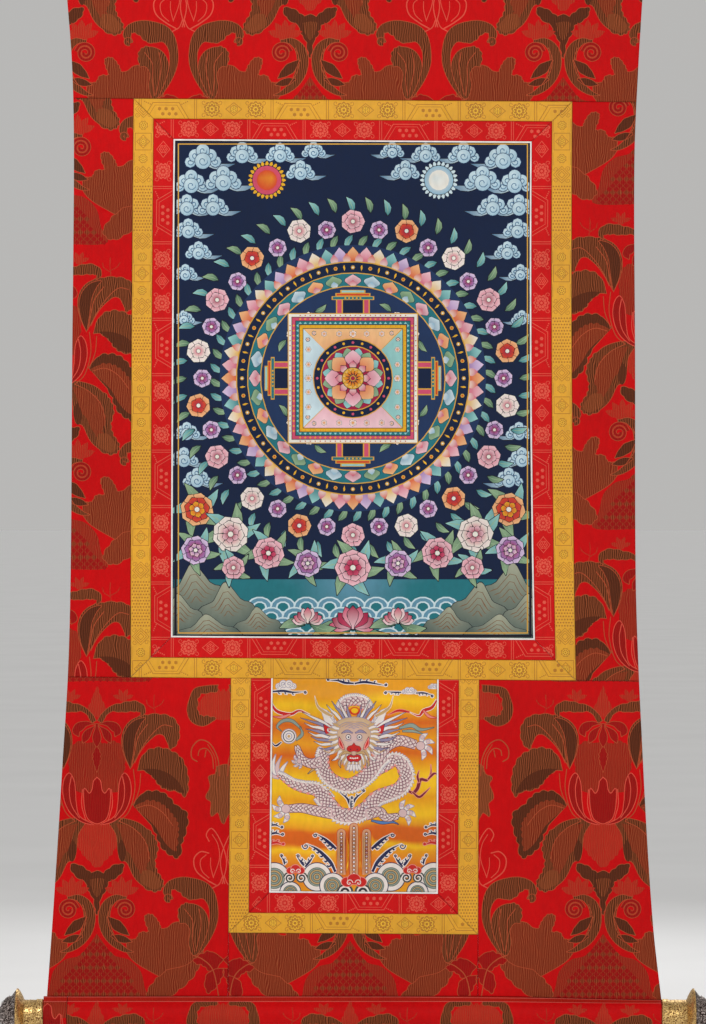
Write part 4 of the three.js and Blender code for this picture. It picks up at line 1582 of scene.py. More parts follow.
def fungus_cloud(x, y, width):
    """A red cloud of three curls over a pair of dark and pale curls."""
    drawn = []
    for hand in (-1, 1):
        knots = spiral(
            x + hand * width * 0.36, y + width * 0.52, width * 0.3, 1.2, 90 - 90 * hand, -1.4 * hand
        )
        drawn.append((line(knots, width * 0.26, 24), "silk moss"))
        drawn.append((line(knots, width * 0.17, 24), "ink"))
        drawn.append((line(knots, width * 0.08, 24), "silk white"))
    for dx, dy, share in ((-0.3, 0.06, 0.24), (0.3, 0.06, 0.24), (0, -0.06, 0.27)):
        place = (x + dx * width, y + dy * width)
        drawn += edged(lambda more: disc(*place, share * width + more, 0.85), "silk red", "silk pink", 1.0)
    for hand in (-1, 1):
        knots = spiral(x + hand * width * 0.2, y + width * 0.1, width * 0.16, 0.6, 90 + 90 * hand, 1.1 * hand)
        drawn.append((line(knots, 1.1, 16), "silk white"))
    return drawn


HAIR_HALF = [
    # a lock's route, width, dye: drawn on both sides of the face, from the back forward
    ([(-4, 56), (-8, 46), (-10, 36)], 3.4, "silk dusk"),
    ([(-8, 56), (-14, 45), (-21, 30)], 3.4, "silk white"),
    ([(-12, 57), (-19, 45), (-24, 40), (-30, 31)], 3.4, "silk dusk"),
    ([(-16, 59), (-24, 49), (-30, 44), (-37, 36)], 3.6, "silk white"),
    ([(-28, 70), (-42, 60), (-56, 53), (-70, 46)], 4.0, "silk white"),
    ([(-28, 72), (-44, 63), (-57, 59), (-72, 54)], 3.6, "silk dusk"),
    ([(-30, 75), (-44, 68), (-56, 66), (-67, 61)], 4.0, "silk white"),
    ([(-30, 78), (-46, 73), (-54, 71), (-65, 69)], 3.6, "silk dusk"),
    ([(-30, 82), (-44, 78), (-52, 78), (-62, 73)], 4.0, "silk white"),
    ([(-30, 85), (-42, 84), (-50, 83), (-58, 79)], 3.6, "silk dusk"),
    ([(-28, 89), (-38, 90), (-45, 90), (-54, 86)], 3.8, "silk white"),
    ([(-26, 93), (-34, 96), (-40, 97), (-47, 95)], 3.4, "silk dusk"),
    ([(-24, 98), (-30, 102), (-36, 104)], 3.2, "silk white"),
    ([(-20, 104), (-25, 110), (-30, 112)], 3.0, "silk white"),
    ([(-17, 109), (-20, 116), (-18, 122)], 3.0, "silk tan"),
]

FACE_HALF = [
    (0, 53), (-11, 54), (-22, 59), (-30, 67), (-32, 76), (-29, 86), (-24, 95), (-18, 104), (-13, 112),
    (-7, 118), (0, 120)
]
MOUTH_HALF = [(0, 106), (4.5, 104.5), (9, 106.5), (8.5, 110.5), (4.5, 113.5), (0, 112.5)]
NOSE_HALF = [(0, 88), (2.5, 91.5), (7.5, 93), (9.5, 97), (5, 100), (0, 99)]


def dragon_head():
    half = []
    half += tongue(
        [(-22, 66), (-34, 54), (-43, 41)], 14, "silk white", "silk dusk", 0.5, 0.5, lobes=3, grow=0.6
    )
    for k in range(3):
        hair = [(-24 - k, 63 - 3 * k), (-33 + 2 * k, 52 - k), (-40 + 4 * k, 45 - k)]
        half.append((line(hair, 0.7, 10), "silk dusk"))
    half += tongue(
        [(-29, 52), (-40, 46), (-49, 38), (-53, 24)], 4.0, "silk tan", "silk white", 0.3, 0.9, grow=0.5
    )
    for route, width, dye in HAIR_HALF:
        half += tongue(route, width, dye, "silk navy", 0.3, 0.9, grow=0.5)
    half += tongue([(-26, 75), (-34, 72), (-41, 63)], 11, "silk red", "silk navy", 0.4, 0.7, grow=0.6)
    half.append((line(spiral(-33, 70, 4.2, 0.8, 320, 1.2), 1.6, 16), "silk white"))
    drawn = half + shifted(half, 0, 0, flip=True)
    centre = np.array([0.0, 80.0])
    face = mirrored_shape([(-x, y) for x, y in FACE_HALF])
    drawn.append((grown(face, 0.8), "silk dusk"))
    drawn.append((face, Blend((0, 84), (0, 120), "silk white", "silk tan")))
    drawn.append((grown(face, -5.0), Blend((0, 84), (0, 116), "silk shell", "silk tan")))
    rim = mirrored_shape([(-x, y) for x, y in FACE_HALF])
    for k, tip in enumerate(rim[::2]):
        if tip[1] > 60:
            root = centre + (tip - centre) * 0.72
            end = centre + (tip - centre) * (1.1 if k % 2 else 1.17) + [0, 2.5]
            drawn += tongue(
                [root, end], 4.2, "silk white" if k % 2 else "silk tan", "silk dusk", root=0.7, grow=0.4
            )
    features = []
    for k in range(4):
        reach = 21 - 4.5 * k
        brow = [(-reach, 65 + k), (-reach / 2, 60 + 2.2 * k), (0, 62 + 2.4 * k)]
        features.append((line(brow, 0.7, 10), "silk dusk"))
    features += tongue([(-2, 74.5), (-9, 72), (-17, 75)], 3.6, "silk dusk", "silk plum", 0.5, 0.5, grow=0.4)
    features += edged(lambda more: disc(-7.5, 80, 3.0 + more), "silk white", "silk navy", 0.8)
    features.append((disc(-7.3, 80.2, 1.3), "silk navy"))
    features.append((line([(-12.5, 84), (-8, 85.5), (-3, 84)], 0.7, 8), "silk dusk"))
    features += tongue([(-14, 97), (-18, 89), (-20, 80)], 6, "silk pink", "silk plum", 0.4, 0.6, grow=0.6)
    features.append((frond([(-15, 95), (-18, 89), (-19.5, 83)], 2.6, root=0.5), "silk red"))
    features += tongue(
        [(-3, 102.5), (-11, 101), (-17, 105)], 3.6, "silk tan", "silk plum", 0.5, 0.6, grow=0.4
    )
    features.append((line([(-12, 99), (-24, 97), (-34, 101), (-42, 97)], 1.2, 16), "silk tan"))
    drawn += features + shifted(features, 0, 0, flip=True)
    drawn.append((grown(mirrored_shape(MOUTH_HALF), 0.8), "silk plum"))
    drawn.append((mirrored_shape(MOUTH_HALF), "silk red"))
    drawn += [(disc(2.4 * k, 109.2 - 0.3 * abs(k), 1.1, count=10), "silk white") for k in range(-2, 3)]
    drawn.append((grown(mirrored_shape(NOSE_HALF), 0.5), "silk maroon"))
    drawn.append((mirrored_shape(NOSE_HALF), "silk red"))
    drawn += [(disc(hand * 4.6, 97, 1.1), "silk maroon") for hand in (-1, 1)]
    for k in range(-2, 3):
        drawn += tongue(
            [(k * 3, 118), (k * 4, 123), (k * 5.2, 127 - abs(k))], 3.4, "silk white", "silk dusk",
            root=0.8, grow=0.5
        )
    for radius, dye in ((7.2, "silk orange"), (4.6, "satin bright")):
        drawn.append((disc(1, 44, radius, 0.75), dye))
    drawn += [
        (frond([(1, 50), (1 + 5 * hand, 47), (1 + 8 * hand, 40)], 2.2, root=0.5), "silk red")
        for hand in (-1, 1)
    ]
    return drawn


DRAGON_LENGTHS = [
    # route, width at its start and end, side of the fringe, whether it has one: the tail first
    ([(26, 128), (44, 118), (55, 111), (66, 118), (70, 130)], 14, 18, -1, True),
    ([(-17, 43), (-11, 33), (1, 30), (13, 33), (19, 43)], 13, 13, -1, True),
    ([(-104, 130), (-96, 135), (-83, 144), (-68, 149), (-49, 153), (-36, 169)], 4, 20, -1, True),
    ([(66, 118), (71, 134), (62, 150), (46, 157), (31, 163), (16, 178), (0, 187), (-21, 185), (-36, 169),
     (-44, 158)], 17, 20, -1, True),
    ([(-38, 96), (-42, 108), (-40, 126), (-28, 140), (-9, 146), (6, 141), (20, 130), (30, 115), (40, 104)],
     15, 20, 1, True),
    ([(-44, 114), (-58, 116), (-70, 110), (-77, 94)], 15, 7, 1, False),
    ([(30, 108), (45, 91), (63, 85), (84, 91)], 18, 12, -1, False),
    ([(-30, 184), (-50, 181), (-70, 177), (-88, 178)], 15, 10, 1, False),
    ([(16, 186), (34, 182), (44, 190), (60, 188)], 15, 8, -1, False),
]

CLAWS = [
    # x, y, aim in degrees, size
    (-74, 113, 150, 9),
    (90, 92, 0, 17),
    (-92, 178, 160, 17),
    (66, 184, 340, 16),
]

SATIN_TONGUES = [
    # spine, width, dye, edge
    ([(-112, 34), (-104, 45), (-86, 49), (-74, 44), (-60, 49)], 4.2, "silk red", "silk white"),
    ([(-86, 49), (-98, 53), (-110, 52)], 3.2, "silk pink", "silk red"),
    ([(112, 30), (105, 40), (94, 44), (88, 51), (75, 46)], 4.2, "silk red", "silk white"),
    ([(94, 44), (102, 52), (112, 54)], 3.2, "silk pink", "silk red"),
    ([(75, 46), (60, 44), (46, 50)], 3.0, "silk red", "silk pink"),
    ([(-72, 68), (-84, 58), (-96, 58), (-104, 66), (-98, 72)], 4.0, "silk reed", "silk moss"),
    ([(-78, 84), (-70, 76), (-73, 66)], 3.6, "silk reed", "silk moss"),
    ([(-98, 87), (-106, 92), (-112, 86)], 2.4, "silk navy", "silk white"),
    ([(62, 68), (78, 64), (90, 70), (108, 67)], 5.0, "silk reed", "silk moss"),
    ([(66, 72), (80, 72), (94, 76)], 3.0, "silk reed", "silk moss"),
    ([(-104, 134), (-110, 120), (-106, 104)], 6.0, "silk white", "silk dusk"),
    ([(-102, 134), (-104, 120), (-98, 106)], 5.0, "silk shell", "silk dusk"),
    ([(-100, 136), (-97, 124), (-90, 114)], 5.0, "silk white", "silk dusk"),
    ([(-102, 136), (-111, 132), (-113, 122)], 4.0, "silk shell", "silk dusk"),
    ([(68, 150), (79, 156), (86, 150), (90, 138), (99, 139), (104, 130), (104, 118)], 4.2, "silk maroon",
     "silk pink"),
    ([(79, 155), (88, 162), (96, 156), (103, 149)], 2.8, "silk maroon", "silk pink"),
    ([(88, 142), (86, 134), (88, 126)], 2.6, "silk maroon", "silk pink"),
    ([(100, 138), (108, 130), (113, 131)], 2.8, "silk maroon", "silk pink"),
    ([(-40, 120), (-52, 122), (-62, 130)], 3.4, "silk tan", "silk moss"),
    ([(24, 194), (38, 197), (52, 196), (60, 199)], 3.4, "silk blue", "silk navy"),
]

SURF = [
    # route, width, side of the hooks, hooks, size of the curl at its end: drawn on both sides
    ([(-24, 233), (-31, 227), (-40, 219), (-51, 212)], 4.6, -1, 4, 2.6),
    ([(-25, 264), (-31, 252), (-42, 240), (-52, 232), (-64, 226)], 4.8, -1, 5, 4.4),
    ([(-64, 258), (-70, 252), (-77, 244)], 4.0, 1, 3, 2.2),
    ([(-66, 257), (-60, 250), (-55, 243)], 3.2, -1, 2, 1.6),
    ([(-94, 254), (-95, 248), (-99, 243)], 2.6, 1, 2, 1.6),
    ([(-113, 201), (-106, 200), (-98, 204)], 2.4, -1, 2, 1.6),
    ([(-113, 213), (-106, 211), (-97, 214)], 3.0, -1, 2, 1.8),
]

SATIN_BRANCHES = [
    # route, width, side of the hooks: navy branches at the top, and the pair under the chin
    ([(1, 7), (-12, 6), (-22, 3), (-35, 3)], 3.2, 1),
    ([(1, 7), (14, 5), (28, 7), (43, 10)], 3.2, -1),
    ([(-111, 18), (-96, 17), (-82, 19), (-66, 18)], 3.2, 1),
    ([(64, 19), (55, 19), (43, 18)], 2.4, -1),
    ([(84, 20), (95, 20), (106, 23)], 2.4, 1),
    ([(-5, 175), (-9, 164), (-20, 155)], 3.0, 1),
    ([(-3, 175), (2, 164), (14, 154)], 3.0, -1),
    ([(-4, 178), (-4, 170), (-4, 163)], 2.4, 1),
]

SEA_RINGS = [(-108, 273, 22), (108, 273, 22), (-50, 271, 20), (50, 271, 20), (-29, 283, 18), (29, 283, 18),
             (-86, 292, 15), (86, 292, 15)]
# The satin's ground: bands of painted sheen and painted shade across its folds, from the top down
SATIN_PAINTED_SHEEN = Bands([(0, "satin"), (22, "satin"), (34, "satin bright"), (50, "satin"), (62,
 "satin deep"), (86, "satin"), (104, "satin deep"), (120, "satin"), (134, "satin bright"), (150,
 "satin bright"), (166, "satin"), (188, "satin bright"), (202, "satin"), (208, "satin deep"), (226,
 "satin deep"), (233, "satin bright"), (240, "satin"), (262, "satin deep"), (292, "satin")])


def pillar(x, top, bottom, width):
    """An upright bar with an arched head and a chain of small rings."""
    drawn = []
    for more, dye in (
        (1.9, "silk red"), (1.2, "silk tan"), (0, "silk pink"), (-0.8, "silk tan"), (-2.2, "silk red"),
        (-2.8, "silk tan")
    ):
        half = width / 2 + more
        arch = [(x + half * math.cos(a), top - half * math.sin(a)) for a in np.radians(np.arange(0, 181, 20))]
        drawn.append((np.array([(x + half, bottom)] + arch + [(x - half, bottom)]), dye))
    for y in np.arange(top + 1, bottom, 5.2):
        drawn += [(disc(x, y, 2.2, count=10), "silk maroon"), (disc(x, y, 1.4, count=8), "silk white")]
    return drawn


# Radius and dye of the pearl's rings
PEARL = [
    (10.4, "silk dusk"), (9.6, "silk white"), (8.2, "silk navy"), (7.0, "silk white"), (4.6, "silk dusk"),
    (3.6, "silk white"), (2.0, "silk tan"),
]


def dragon_drawing():
    drawn = []
    for x, y, size in ((-92, 9, 9), (75, 17, 6.5), (108, 11, 5)):
        drawn += curl_cloud(x, y, size)
    for route, width, hand in SATIN_BRANCHES:
        drawn += surf(route, width, hand, 3, 1.6)
    for spine, width, dye, edge in SATIN_TONGUES:
        drawn += tongue(spine, width, dye, edge, 0.35, 0.6, grow=0.8)
    drawn += discs(-88, 79, PEARL, count=28)
    for route, start, end, fin, fringe in DRAGON_LENGTHS:
        drawn += body_stretch(route, start, end, fin, fringe)
    for x, y, aim, size in CLAWS:
        drawn += claw(x, y, aim, size)
    drawn += dragon_head()
    sides = []
    for route, width, hand, hooks, curl in SURF:
        sides += surf(route, width, hand, hooks, curl)
    sides += surf([(-113, 226), (-105, 224), (-96, 227)], 3.0, -1, 2, 1.4, "silk red", "silk pink")
    drawn += sides + shifted(sides, 0, 0, flip=True)
    for x in (-17, 17):
        drawn += pillar(x, 211, 268, 9)
    drawn += pillar(0, 203, 276, 8.5)
    for x, y, radius in SEA_RINGS:
        drawn += wave_rings(x, y, radius)
    for x, y, width in ((0, 276, 31), (-79, 261, 22), (79, 261, 22)):
        drawn += fungus_cloud(x, y, width)
    return drawn


# The painted panel: a wheel of petals and a gated square over a landscape with flowers

PAINTING_MIDDLE = (-1.5, 553.5)
WHEEL_DEPTH = -14.0


def gem(points_of, near, far, centre, rim, edge="ink", grow=0.8):
    """A shaded shape with a dark line round it, or none where grow is 0. points_of takes how much to grow."""
    behind = [(points_of(grow), edge)] if grow else []
    return behind + [(points_of(0.0), Blend(centre, rim, near, far))]


def petal_ring(
    x, y, count, radius, length, width, shades, fullest=0.6, turn=0.0, lobes=0, edge="ink", grow=0.8
):
    """Petals that point outwards round a circle. shades is a list of (near, far), used in turn."""
    drawn = []
    for k in range(count):
        a = 2 * math.pi * (k + turn) / count
        root, tip = (polar(x, y, reach, a) for reach in (radius, radius + length))
        near, far = shades[k % len(shades)]
        drawn += gem(
            lambda more: frond(
                [root, tip], width, lobes, 0.14, fullest, 0.2, more
            ), near, far, root, tip, edge, grow
        )
    return drawn


PEONIES = {
    "rose": [
        ("rose", "pale rose"), ("deep rose", "pale rose"), ("deep rose", "rose"), ("paper", "pale rose")
    ],
    "flame": [("flame", "peach"), ("deep rose", "flame"), ("flame", "sun"), ("paper", "peach")],
    "lilac": [
        ("lilac", "pale lilac"), ("deep rose", "lilac"), ("lilac", "pale rose"), ("paper", "pale lilac")
    ],
    "paper": [("pale rose", "paper"), ("rose", "paper"), ("deep rose", "pale rose"), ("paper", "paper")],
}


def peony(x, y, radius, kind, turn=0.0):
    shades = PEONIES[kind]
    drawn = []
    if radius < 18:
        drawn += petal_ring(x, y, 7, radius * 0.25, radius * 0.75, radius * 0.86, [shades[0]], 0.66, turn)
        drawn += petal_ring(
            x, y, 5, radius * 0.08, radius * 0.56, radius * 0.66, [shades[1]], 0.64, turn + 0.5
        )
        return drawn + discs(x, y, [(radius * 0.17 + 0.6, "ink"), (radius * 0.17, shades[3][0])], count=8)
    drawn += petal_ring(x, y, 8, radius * 0.3, radius * 0.7, radius * 0.8, [shades[0]], 0.66, turn, 2)
    drawn += petal_ring(x, y, 7, radius * 0.2, radius * 0.55, radius * 0.6, [shades[1]], 0.66, turn + 0.5, 2)
    drawn += petal_ring(
        x, y, 6, radius * 0.1, radius * 0.38, radius * 0.36, [shades[2]], 0.62, turn, grow=0.6
    )
    return drawn + discs(x, y, [(radius * 0.15 + 0.6, "ink"), (radius * 0.15, shades[3][0])], count=10)


def leaf(x, y, aim, length, width, near="leaf green", far="pale leaf", veins=(2, 5)):
    """A pointed leaf from (x, y). aim is in degrees, 0 to the right and 90 down."""
    a = math.radians(aim)
    root = np.array([x, y])
    tip = root + length * np.array([math.cos(a), math.sin(a)])
    bend = (root + tip) / 2 + 0.12 * length * np.array([-math.sin(a), math.cos(a)])
    lobes = 5 if veins else 0
    drawn = gem(
        lambda more: frond([root, bend, tip], width, lobes, 0.12, 0.45, 0.1, more), near, far, root, tip
    )
    knots = 9 if veins else 4
    rib = curve([root, bend, tip], knots)
    drawn.append((ribbon(rib, np.full(knots, 0.45)), "pale leaf"))
    for k in veins:
        for hand in (-1, 1):
            out = sideways(rib)[k] * hand * width * 0.3 + (rib[k] - rib[k - 1]) * 0.8
            drawn.append((line([rib[k], rib[k] + out], 0.6, 2), "pale leaf"))
    return drawn


def puff_cloud(x, y, size, hand=1):
    """A painted cloud: a stack of round puffs, shaded, with a curl in each and a long tail."""
    drawn = []
    tail = [
        (x, y + size * 0.35), (x + hand * size * 1.6, y + size * 0.75),
        (x + hand * size * 3.0, y + size * 0.5)
    ]
    drawn += gem(
        lambda more: frond(tail, size * 0.62, 4, 0.2, 0.35, 0.7, more), "cloud light", "cloud deep",
        tail[0], tail[2]
    )
    puffs = [
        (-1.15, 0.35, 0.5), (1.15, 0.3, 0.52), (-0.7, -0.25, 0.58), (0.7, -0.28, 0.56), (0, -0.7, 0.6),
        (0, 0.25, 0.72)
    ]
    for dx, dy, share in puffs:
        px = x + dx * size * hand
        py = y + dy * size
        r = share * size
        light, rim = (px - r * 0.3, py - r * 0.4), (px + r, py + r)
        drawn += gem(
            lambda more: disc(px, py, r + more, count=16), "cloud light", "cloud", light, rim, "night edge"
        )
        knots = spiral(
            px, py, r * 0.68, r * 0.15, 200 if dx * hand > 0 else -20, 1.15 if dx * hand <= 0 else -1.15
        )
        drawn.append((line(knots, 1.1, 11), "cloud deep"))
    return drawn


def lotus(x, y, width, kind="rose"):
    """A lotus seen from the side."""
    shades = PEONIES[kind]
    drawn = []
    for k, aim in enumerate((-168, -12, -150, -30, -128, -52, -108, -72, -90)):
        a = math.radians(aim)
        root = (x, y)
        tip = (x + width * 0.5 * math.cos(a), y + width * (0.42 + 0.06 * (k > 5)) * math.sin(a))
        near, far = shades[k // 2 % 3]
        drawn += gem(
            lambda more: frond([root, tip], width * 0.24, 0, 0, 0.62, 0.2, more), far, near, root, tip
        )
    return drawn


GATE_TIERS = [
    # half width, from, to, dye: one gate, up from the square's wall
    (27, 0, 24, "leaf gold"),
    (25, 0, 22, "rose"),
    (18, 0, 24, "leaf gold"),
    (16, 0, 22, "night"),
    (34, 22, 28, "leaf gold"),
    (32, 23, 27, "teal"),
    (28, 28, 33, "leaf gold"),
    (26, 29, 32, "flame"),
    (20, 33, 38, "leaf gold"),
    (18, 34, 37, "pale teal"),
]
# Squares about the middle, each covered by the next: half width, dye
WALL_BANDS = [
    (104, "leaf gold"), (102.5, "paper"), (98, "ink"), (97, "rose"), (92, "ink"), (91, "teal"), (86, "ink"),
    (85, "sun"), (80, "ink"),
]
QUARTERS = [("flame", "peach"), ("teal", "pale teal"), ("rose", "pale rose"), ("cloud deep", "cloud light")]


def quarter_turned(drawing, k):
    return shifted(drawing, 0, 0, turn=90.0 * k)


def wheel():
    """The round design in the middle of the painting, about its own centre."""
    drawn = [(disc(0, 0, 213, count=90), "night edge")]
    flames = [
        ("flame", "peach"), ("rose", "pale rose"), ("sun", "paper"), ("teal", "pale teal"),
        ("lilac", "pale lilac")
    ]
    drawn += petal_ring(0, 0, 60, 184, 26, 21, flames, 0.4, 0.0)
    drawn += petal_ring(0, 0, 60, 183, 17, 13, [("paper", "flame"), ("paper", "rose")], 0.4, 0.5, grow=0)
    drawn += discs(0, 0, [(187, "leaf gold"), (185.2, "night")], count=90)
    for k in range(40):
        a = 2 * math.pi * k / 40
        x, y = polar(0, 0, 177, a)
        drawn.append((disc(x, y, 3.4, count=12), "leaf gold"))
        drawn.append((disc(x, y, 1.8, count=8), "flame" if k % 2 else "paper"))
        ends = [polar(0, 0, reach, a + math.pi / 40) for reach in (171.5, 182.5)]
        drawn.append((frond(ends, 3.4, fullest=0.5), "sun"))
    drawn += discs(0, 0, [(169, "leaf gold"), (167.4, "teal")], count=90)
    lotus_shades = [
        ("deep rose", "pale rose"), ("cloud deep", "cloud light"), ("flame", "peach"),
        ("leaf green", "pale leaf")
    ]
    drawn += petal_ring(0, 0, 32, 145, 21, 26, lotus_shades, 0.52)
    drawn += petal_ring(0, 0, 32, 145, 12, 12, [("paper", "rose"), ("paper", "cloud")], 0.5, grow=0)
    drawn += discs(0, 0, [(148, "leaf gold"), (146.4, "night edge")], count=90)
    for k in range(4):
        corner = []
        for dx, dy, r, kind in ((0, -122, 11, "rose"), (-20, -119, 8, "paper"), (20, -119, 8, "paper")):
            corner += peony(dx, dy, r, kind)
        corner += leaf(-32, -118, 168, 22, 9, veins=()) + leaf(32, -118, 12, 22, 9, veins=())
        drawn += shifted(corner, 0, 0, turn=45 + 90.0 * k)
    gate = [(box(-half, -103 - high, half, -103 - low), dye) for half, low, high, dye in GATE_TIERS]
    for k in range(-2, 3):
        gate.append((disc(k * 6, -128, 1.8, count=8), "sun"))
    for k in range(4):
        drawn += quarter_turned(gate, k)
    drawn += [(box(-half, -half, half, half), dye) for half, dye in WALL_BANDS]
    drawn += wall_pattern()
    for k, (near, far) in enumerate(QUARTERS):
        quarter = [(np.array([(-79, -79), (79, -79), (0, 0)], float), Blend((0, 0), (0, -79), near, far))]
        quarter += [(line([(-79, -79), (0, 0)], 1.4, 2), "leaf gold")]
        for x, y, r in (
            (0, -71, 5), (-22, -71, 4), (22, -71, 4), (-46, -71, 4), (46, -71, 4), (-62, -72, 3), (62, -72, 3)
        ):
            quarter += gem(
                lambda more: blossom(x, y, r * 1.2 + more, 6, 0.35), "flame", "paper", (x, y), (x, y - r),
                grow=0.5
            )
            quarter.append((disc(x, y, r * 0.35, count=8), "sun"))
        drawn += quarter_turned(quarter, k)
    return drawn + wheel_heart()


def wall_pattern():
    """Beads and steps along the square's walls."""
    drawn = []
    for k in range(4):
        side = []
        for place in np.arange(-84, 85, 8.0):
            side.append((disc(place, -94.5, 1.9, count=8), "sun"))
            side.append((np.array([(place - 2.6, -86.8), (place + 2.6, -86.8), (place, -90.2)]), "pale teal"))
            side.append((disc(place, -100.3, 1.3, count=8), "flame"))
            side.append((line([(place, -84.4), (place, -80.8)], 0.8, 2), "flame"))
        drawn += quarter_turned(side, k)
    return drawn


def wheel_heart():
    drawn = discs(0, 0, [(64, "leaf gold"), (62.4, "night")], count=64)
    for k in range(24):
        bead = disc(*polar(0, 0, 57, 2 * math.pi * k / 24), 2.4, count=10)
        drawn.append((bead, "sun" if k % 2 else "rose"))
    drawn += discs(0, 0, [(52, "leaf gold"), (50.4, "deep rose")], count=60)
    drawn += petal_ring(0, 0, 16, 22, 27, 18, [("teal", "pale teal"), ("leaf green", "pale leaf")], 0.6, 0.5)
    drawn += petal_ring(0, 0, 8, 14, 31, 26, [("rose", "pale rose"), ("flame", "peach")], 0.58)
    drawn += petal_ring(0, 0, 8, 12, 16, 12, [("paper", "rose")], 0.58)
    drawn += discs(0, 0, [(18, "ink"), (17, Blend((0, 0), (17, 0), "paper", "sun"))], count=36)
    drawn += petal_ring(0, 0, 12, 5, 10.5, 5.6, [("flame", "sun")], 0.6, grow=0.5)
    return drawn + discs(0, 0, [(5, "leaf gold"), (3.6, "deep rose")], count=16)


PAINTED_CLOUDS = [
    # x, y, size: drawn on both sides, from the top down
    (-206, -316, 15), (-152, -322, 13), (-100, -322, 12), (-54, -326, 10), (-222, -282, 14), (-178, -286, 15),
    (-72, -298, 12), (-228, -250, 13), (-192, -250, 13), (-226, -218, 12), (-212, -188, 11), (-230, -158, 10),
    (-232, -96, 9), (-228, 60, 11), (-232, 96, 12), (-214, 124, 12),
]

FLOWERS = [
    # x, y, radius, kind, first leaf's aim, leaves: the lower garland, drawn on both sides
    (-214, 166, 23, "flame", 100, 5),
    (-168, 200, 25, "paper", 40, 6),
    (-116, 226, 22, "rose", 20, 5),
    (-216, 222, 20, "lilac", 80, 5),
    (-62, 240, 19, "lilac", 70, 5),
    (-164, 246, 16, "rose", 30, 5),
]
WREATH_RADIUS = 226
WREATH_KINDS = ("rose", "lilac", "flame", "lilac", "paper", "lilac")


def bloom(x, y, radius, kind, aim, leaves):
    drawn = []
    for k in range(leaves):
        tones = ("teal", "pale teal") if k % 2 else ("leaf green", "pale leaf")
        drawn += leaf(x, y, aim + 360 * k / leaves, radius * 1.75, radius * 0.62, *tones)
    return drawn + peony(x, y, radius, kind, 0.3 * (x % 5))


def wreath():
    """A ring of flowers and leaves round the wheel."""
    drawn = []
    for k in range(60):
        a = math.radians(6 * k)
        for reach, aim in ((WREATH_RADIUS - 17, 24), (WREATH_RADIUS + 17, -24)):
            tones = ("teal", "pale teal") if k % 2 else ("leaf green", "pale leaf")
            outwards = 6 * k + aim + (0 if reach > WREATH_RADIUS else 180)
            drawn += leaf(*polar(0, 0, reach, a), outwards, 24, 10, *tones, veins=())
    for k in range(36):
        a = math.radians(10 * k - 90)
        radius = 17.5 if k % 2 == 0 else 13.5
        reach = WREATH_RADIUS + (3 if k % 2 == 0 else -6)
        drawn += peony(*polar(0, 0, reach, a), radius, WREATH_KINDS[k % 6], 0.4 * k)
    return drawn


# Place, half width, height
HILLS = [(214, 300, 62, 60), (170, 318, 54, 52), (236, 326, 46, 44), (128, 334, 44, 34), (196, 344, 60, 34)]
HILL_RIDGE = [(-0.6, 0.42), (-0.3, 0.55), (0.4, 0.5), (0.75, 0.3)]


def landscape():
    """Hills and a lake along the painting's foot."""
    drawn = [(box(-246, 262, 246, 345), Blend((0, 262), (0, 345), "water", "teal"))]
    for row in range(4):
        for k in range(-4, 5 - row % 2):
            x = 32 * k + (16 if row % 2 else 0)
            y = 300 + 14 * row
            for share, dye in ((1, "cloud light"), (0.86, "water"), (0.56, "cloud light"), (0.42, "teal")):
                drawn.append((disc(x, y, 18 * share, 0.8, count=14 if share > 0.6 else 10), dye))
    for hand in (-1, 1):
        for x, y, wide, tall in HILLS:
            peak = (hand * (x + wide * 0.1), y - tall)
            ridge = [(hand * (x + wide * across), y - tall * up) for across, up in HILL_RIDGE]
            ridge = [(hand * (x - wide), y + 12), *ridge[:2], peak, *ridge[2:], (hand * (x + wide), y + 12)]
            centre = np.array([hand * x, y])
            shape = curve(ridge, 36)
            drawn.append((centre + (shape - centre) * 1.025, "ink"))
            drawn.append((shape, Blend(peak, (hand * x, y + 12), "hill light", "hill")))
            for k in range(4):
                share = 0.25 + 0.18 * k
                fold = centre + (shape[6:30:3] - centre) * share
                drawn.append((line(fold, 0.9, 9), "earth"))
    for x, y, width, kind in ((0, 330, 66, "rose"), (-62, 322, 44, "paper"), (62, 322, 44, "paper")):
        for hand in (-1, 1):
            drawn += leaf(x + hand * 4, y + 2, 90 - hand * 82, width * 0.8, width * 0.32)
        drawn += lotus(x, y, width, kind)
    return drawn


def painting_drawing():
    drawn = []
    for x, y, size in PAINTED_CLOUDS:
        drawn += puff_cloud(x, y, size, 1) + puff_cloud(-x, y, size, -1)
    for x, near, far, ray in ((-118, "flame", "rose", "sun"), (118, "paper", "cloud", "cloud light")):
        drawn += petal_ring(x, -286, 24, 19, 8, 5, [(ray, ray)], 0.4, grow=0.4)
        drawn += gem(lambda more: disc(x, -286, 20 + more, count=32), near, far, (x, -286), (x + 20, -286))
        drawn.append((disc(x, -286, 14, count=28), Blend((x, -286), (x + 14, -286), ray, near)))
    drawn += landscape()
    drawn += shifted(wreath(), 0, WHEEL_DEPTH, scale=0.94)
    drawn += shifted(wheel(), 0, WHEEL_DEPTH, scale=0.86)
    for x, y, radius, kind, aim, leaves in FLOWERS:
        drawn += bloom(x, y, radius, kind, aim, leaves) + bloom(-x, y, radius, kind, 180 - aim, leaves)
    drawn += bloom(0, 246, 25, "rose", 0, 6)
    for inset, width, dye in ((0.0, 3.4, "ink"), (4.0, 1.6, "leaf gold")):
        x, y = 243.6 - inset, 339.6 - inset
        drawn += polyline([(-x, -y), (x, -y), (x, y), (-x, y)], width, dye, closed=True)
    return shifted(drawn, *PAINTING_MIDDLE)


# The painted panel and the satin panel

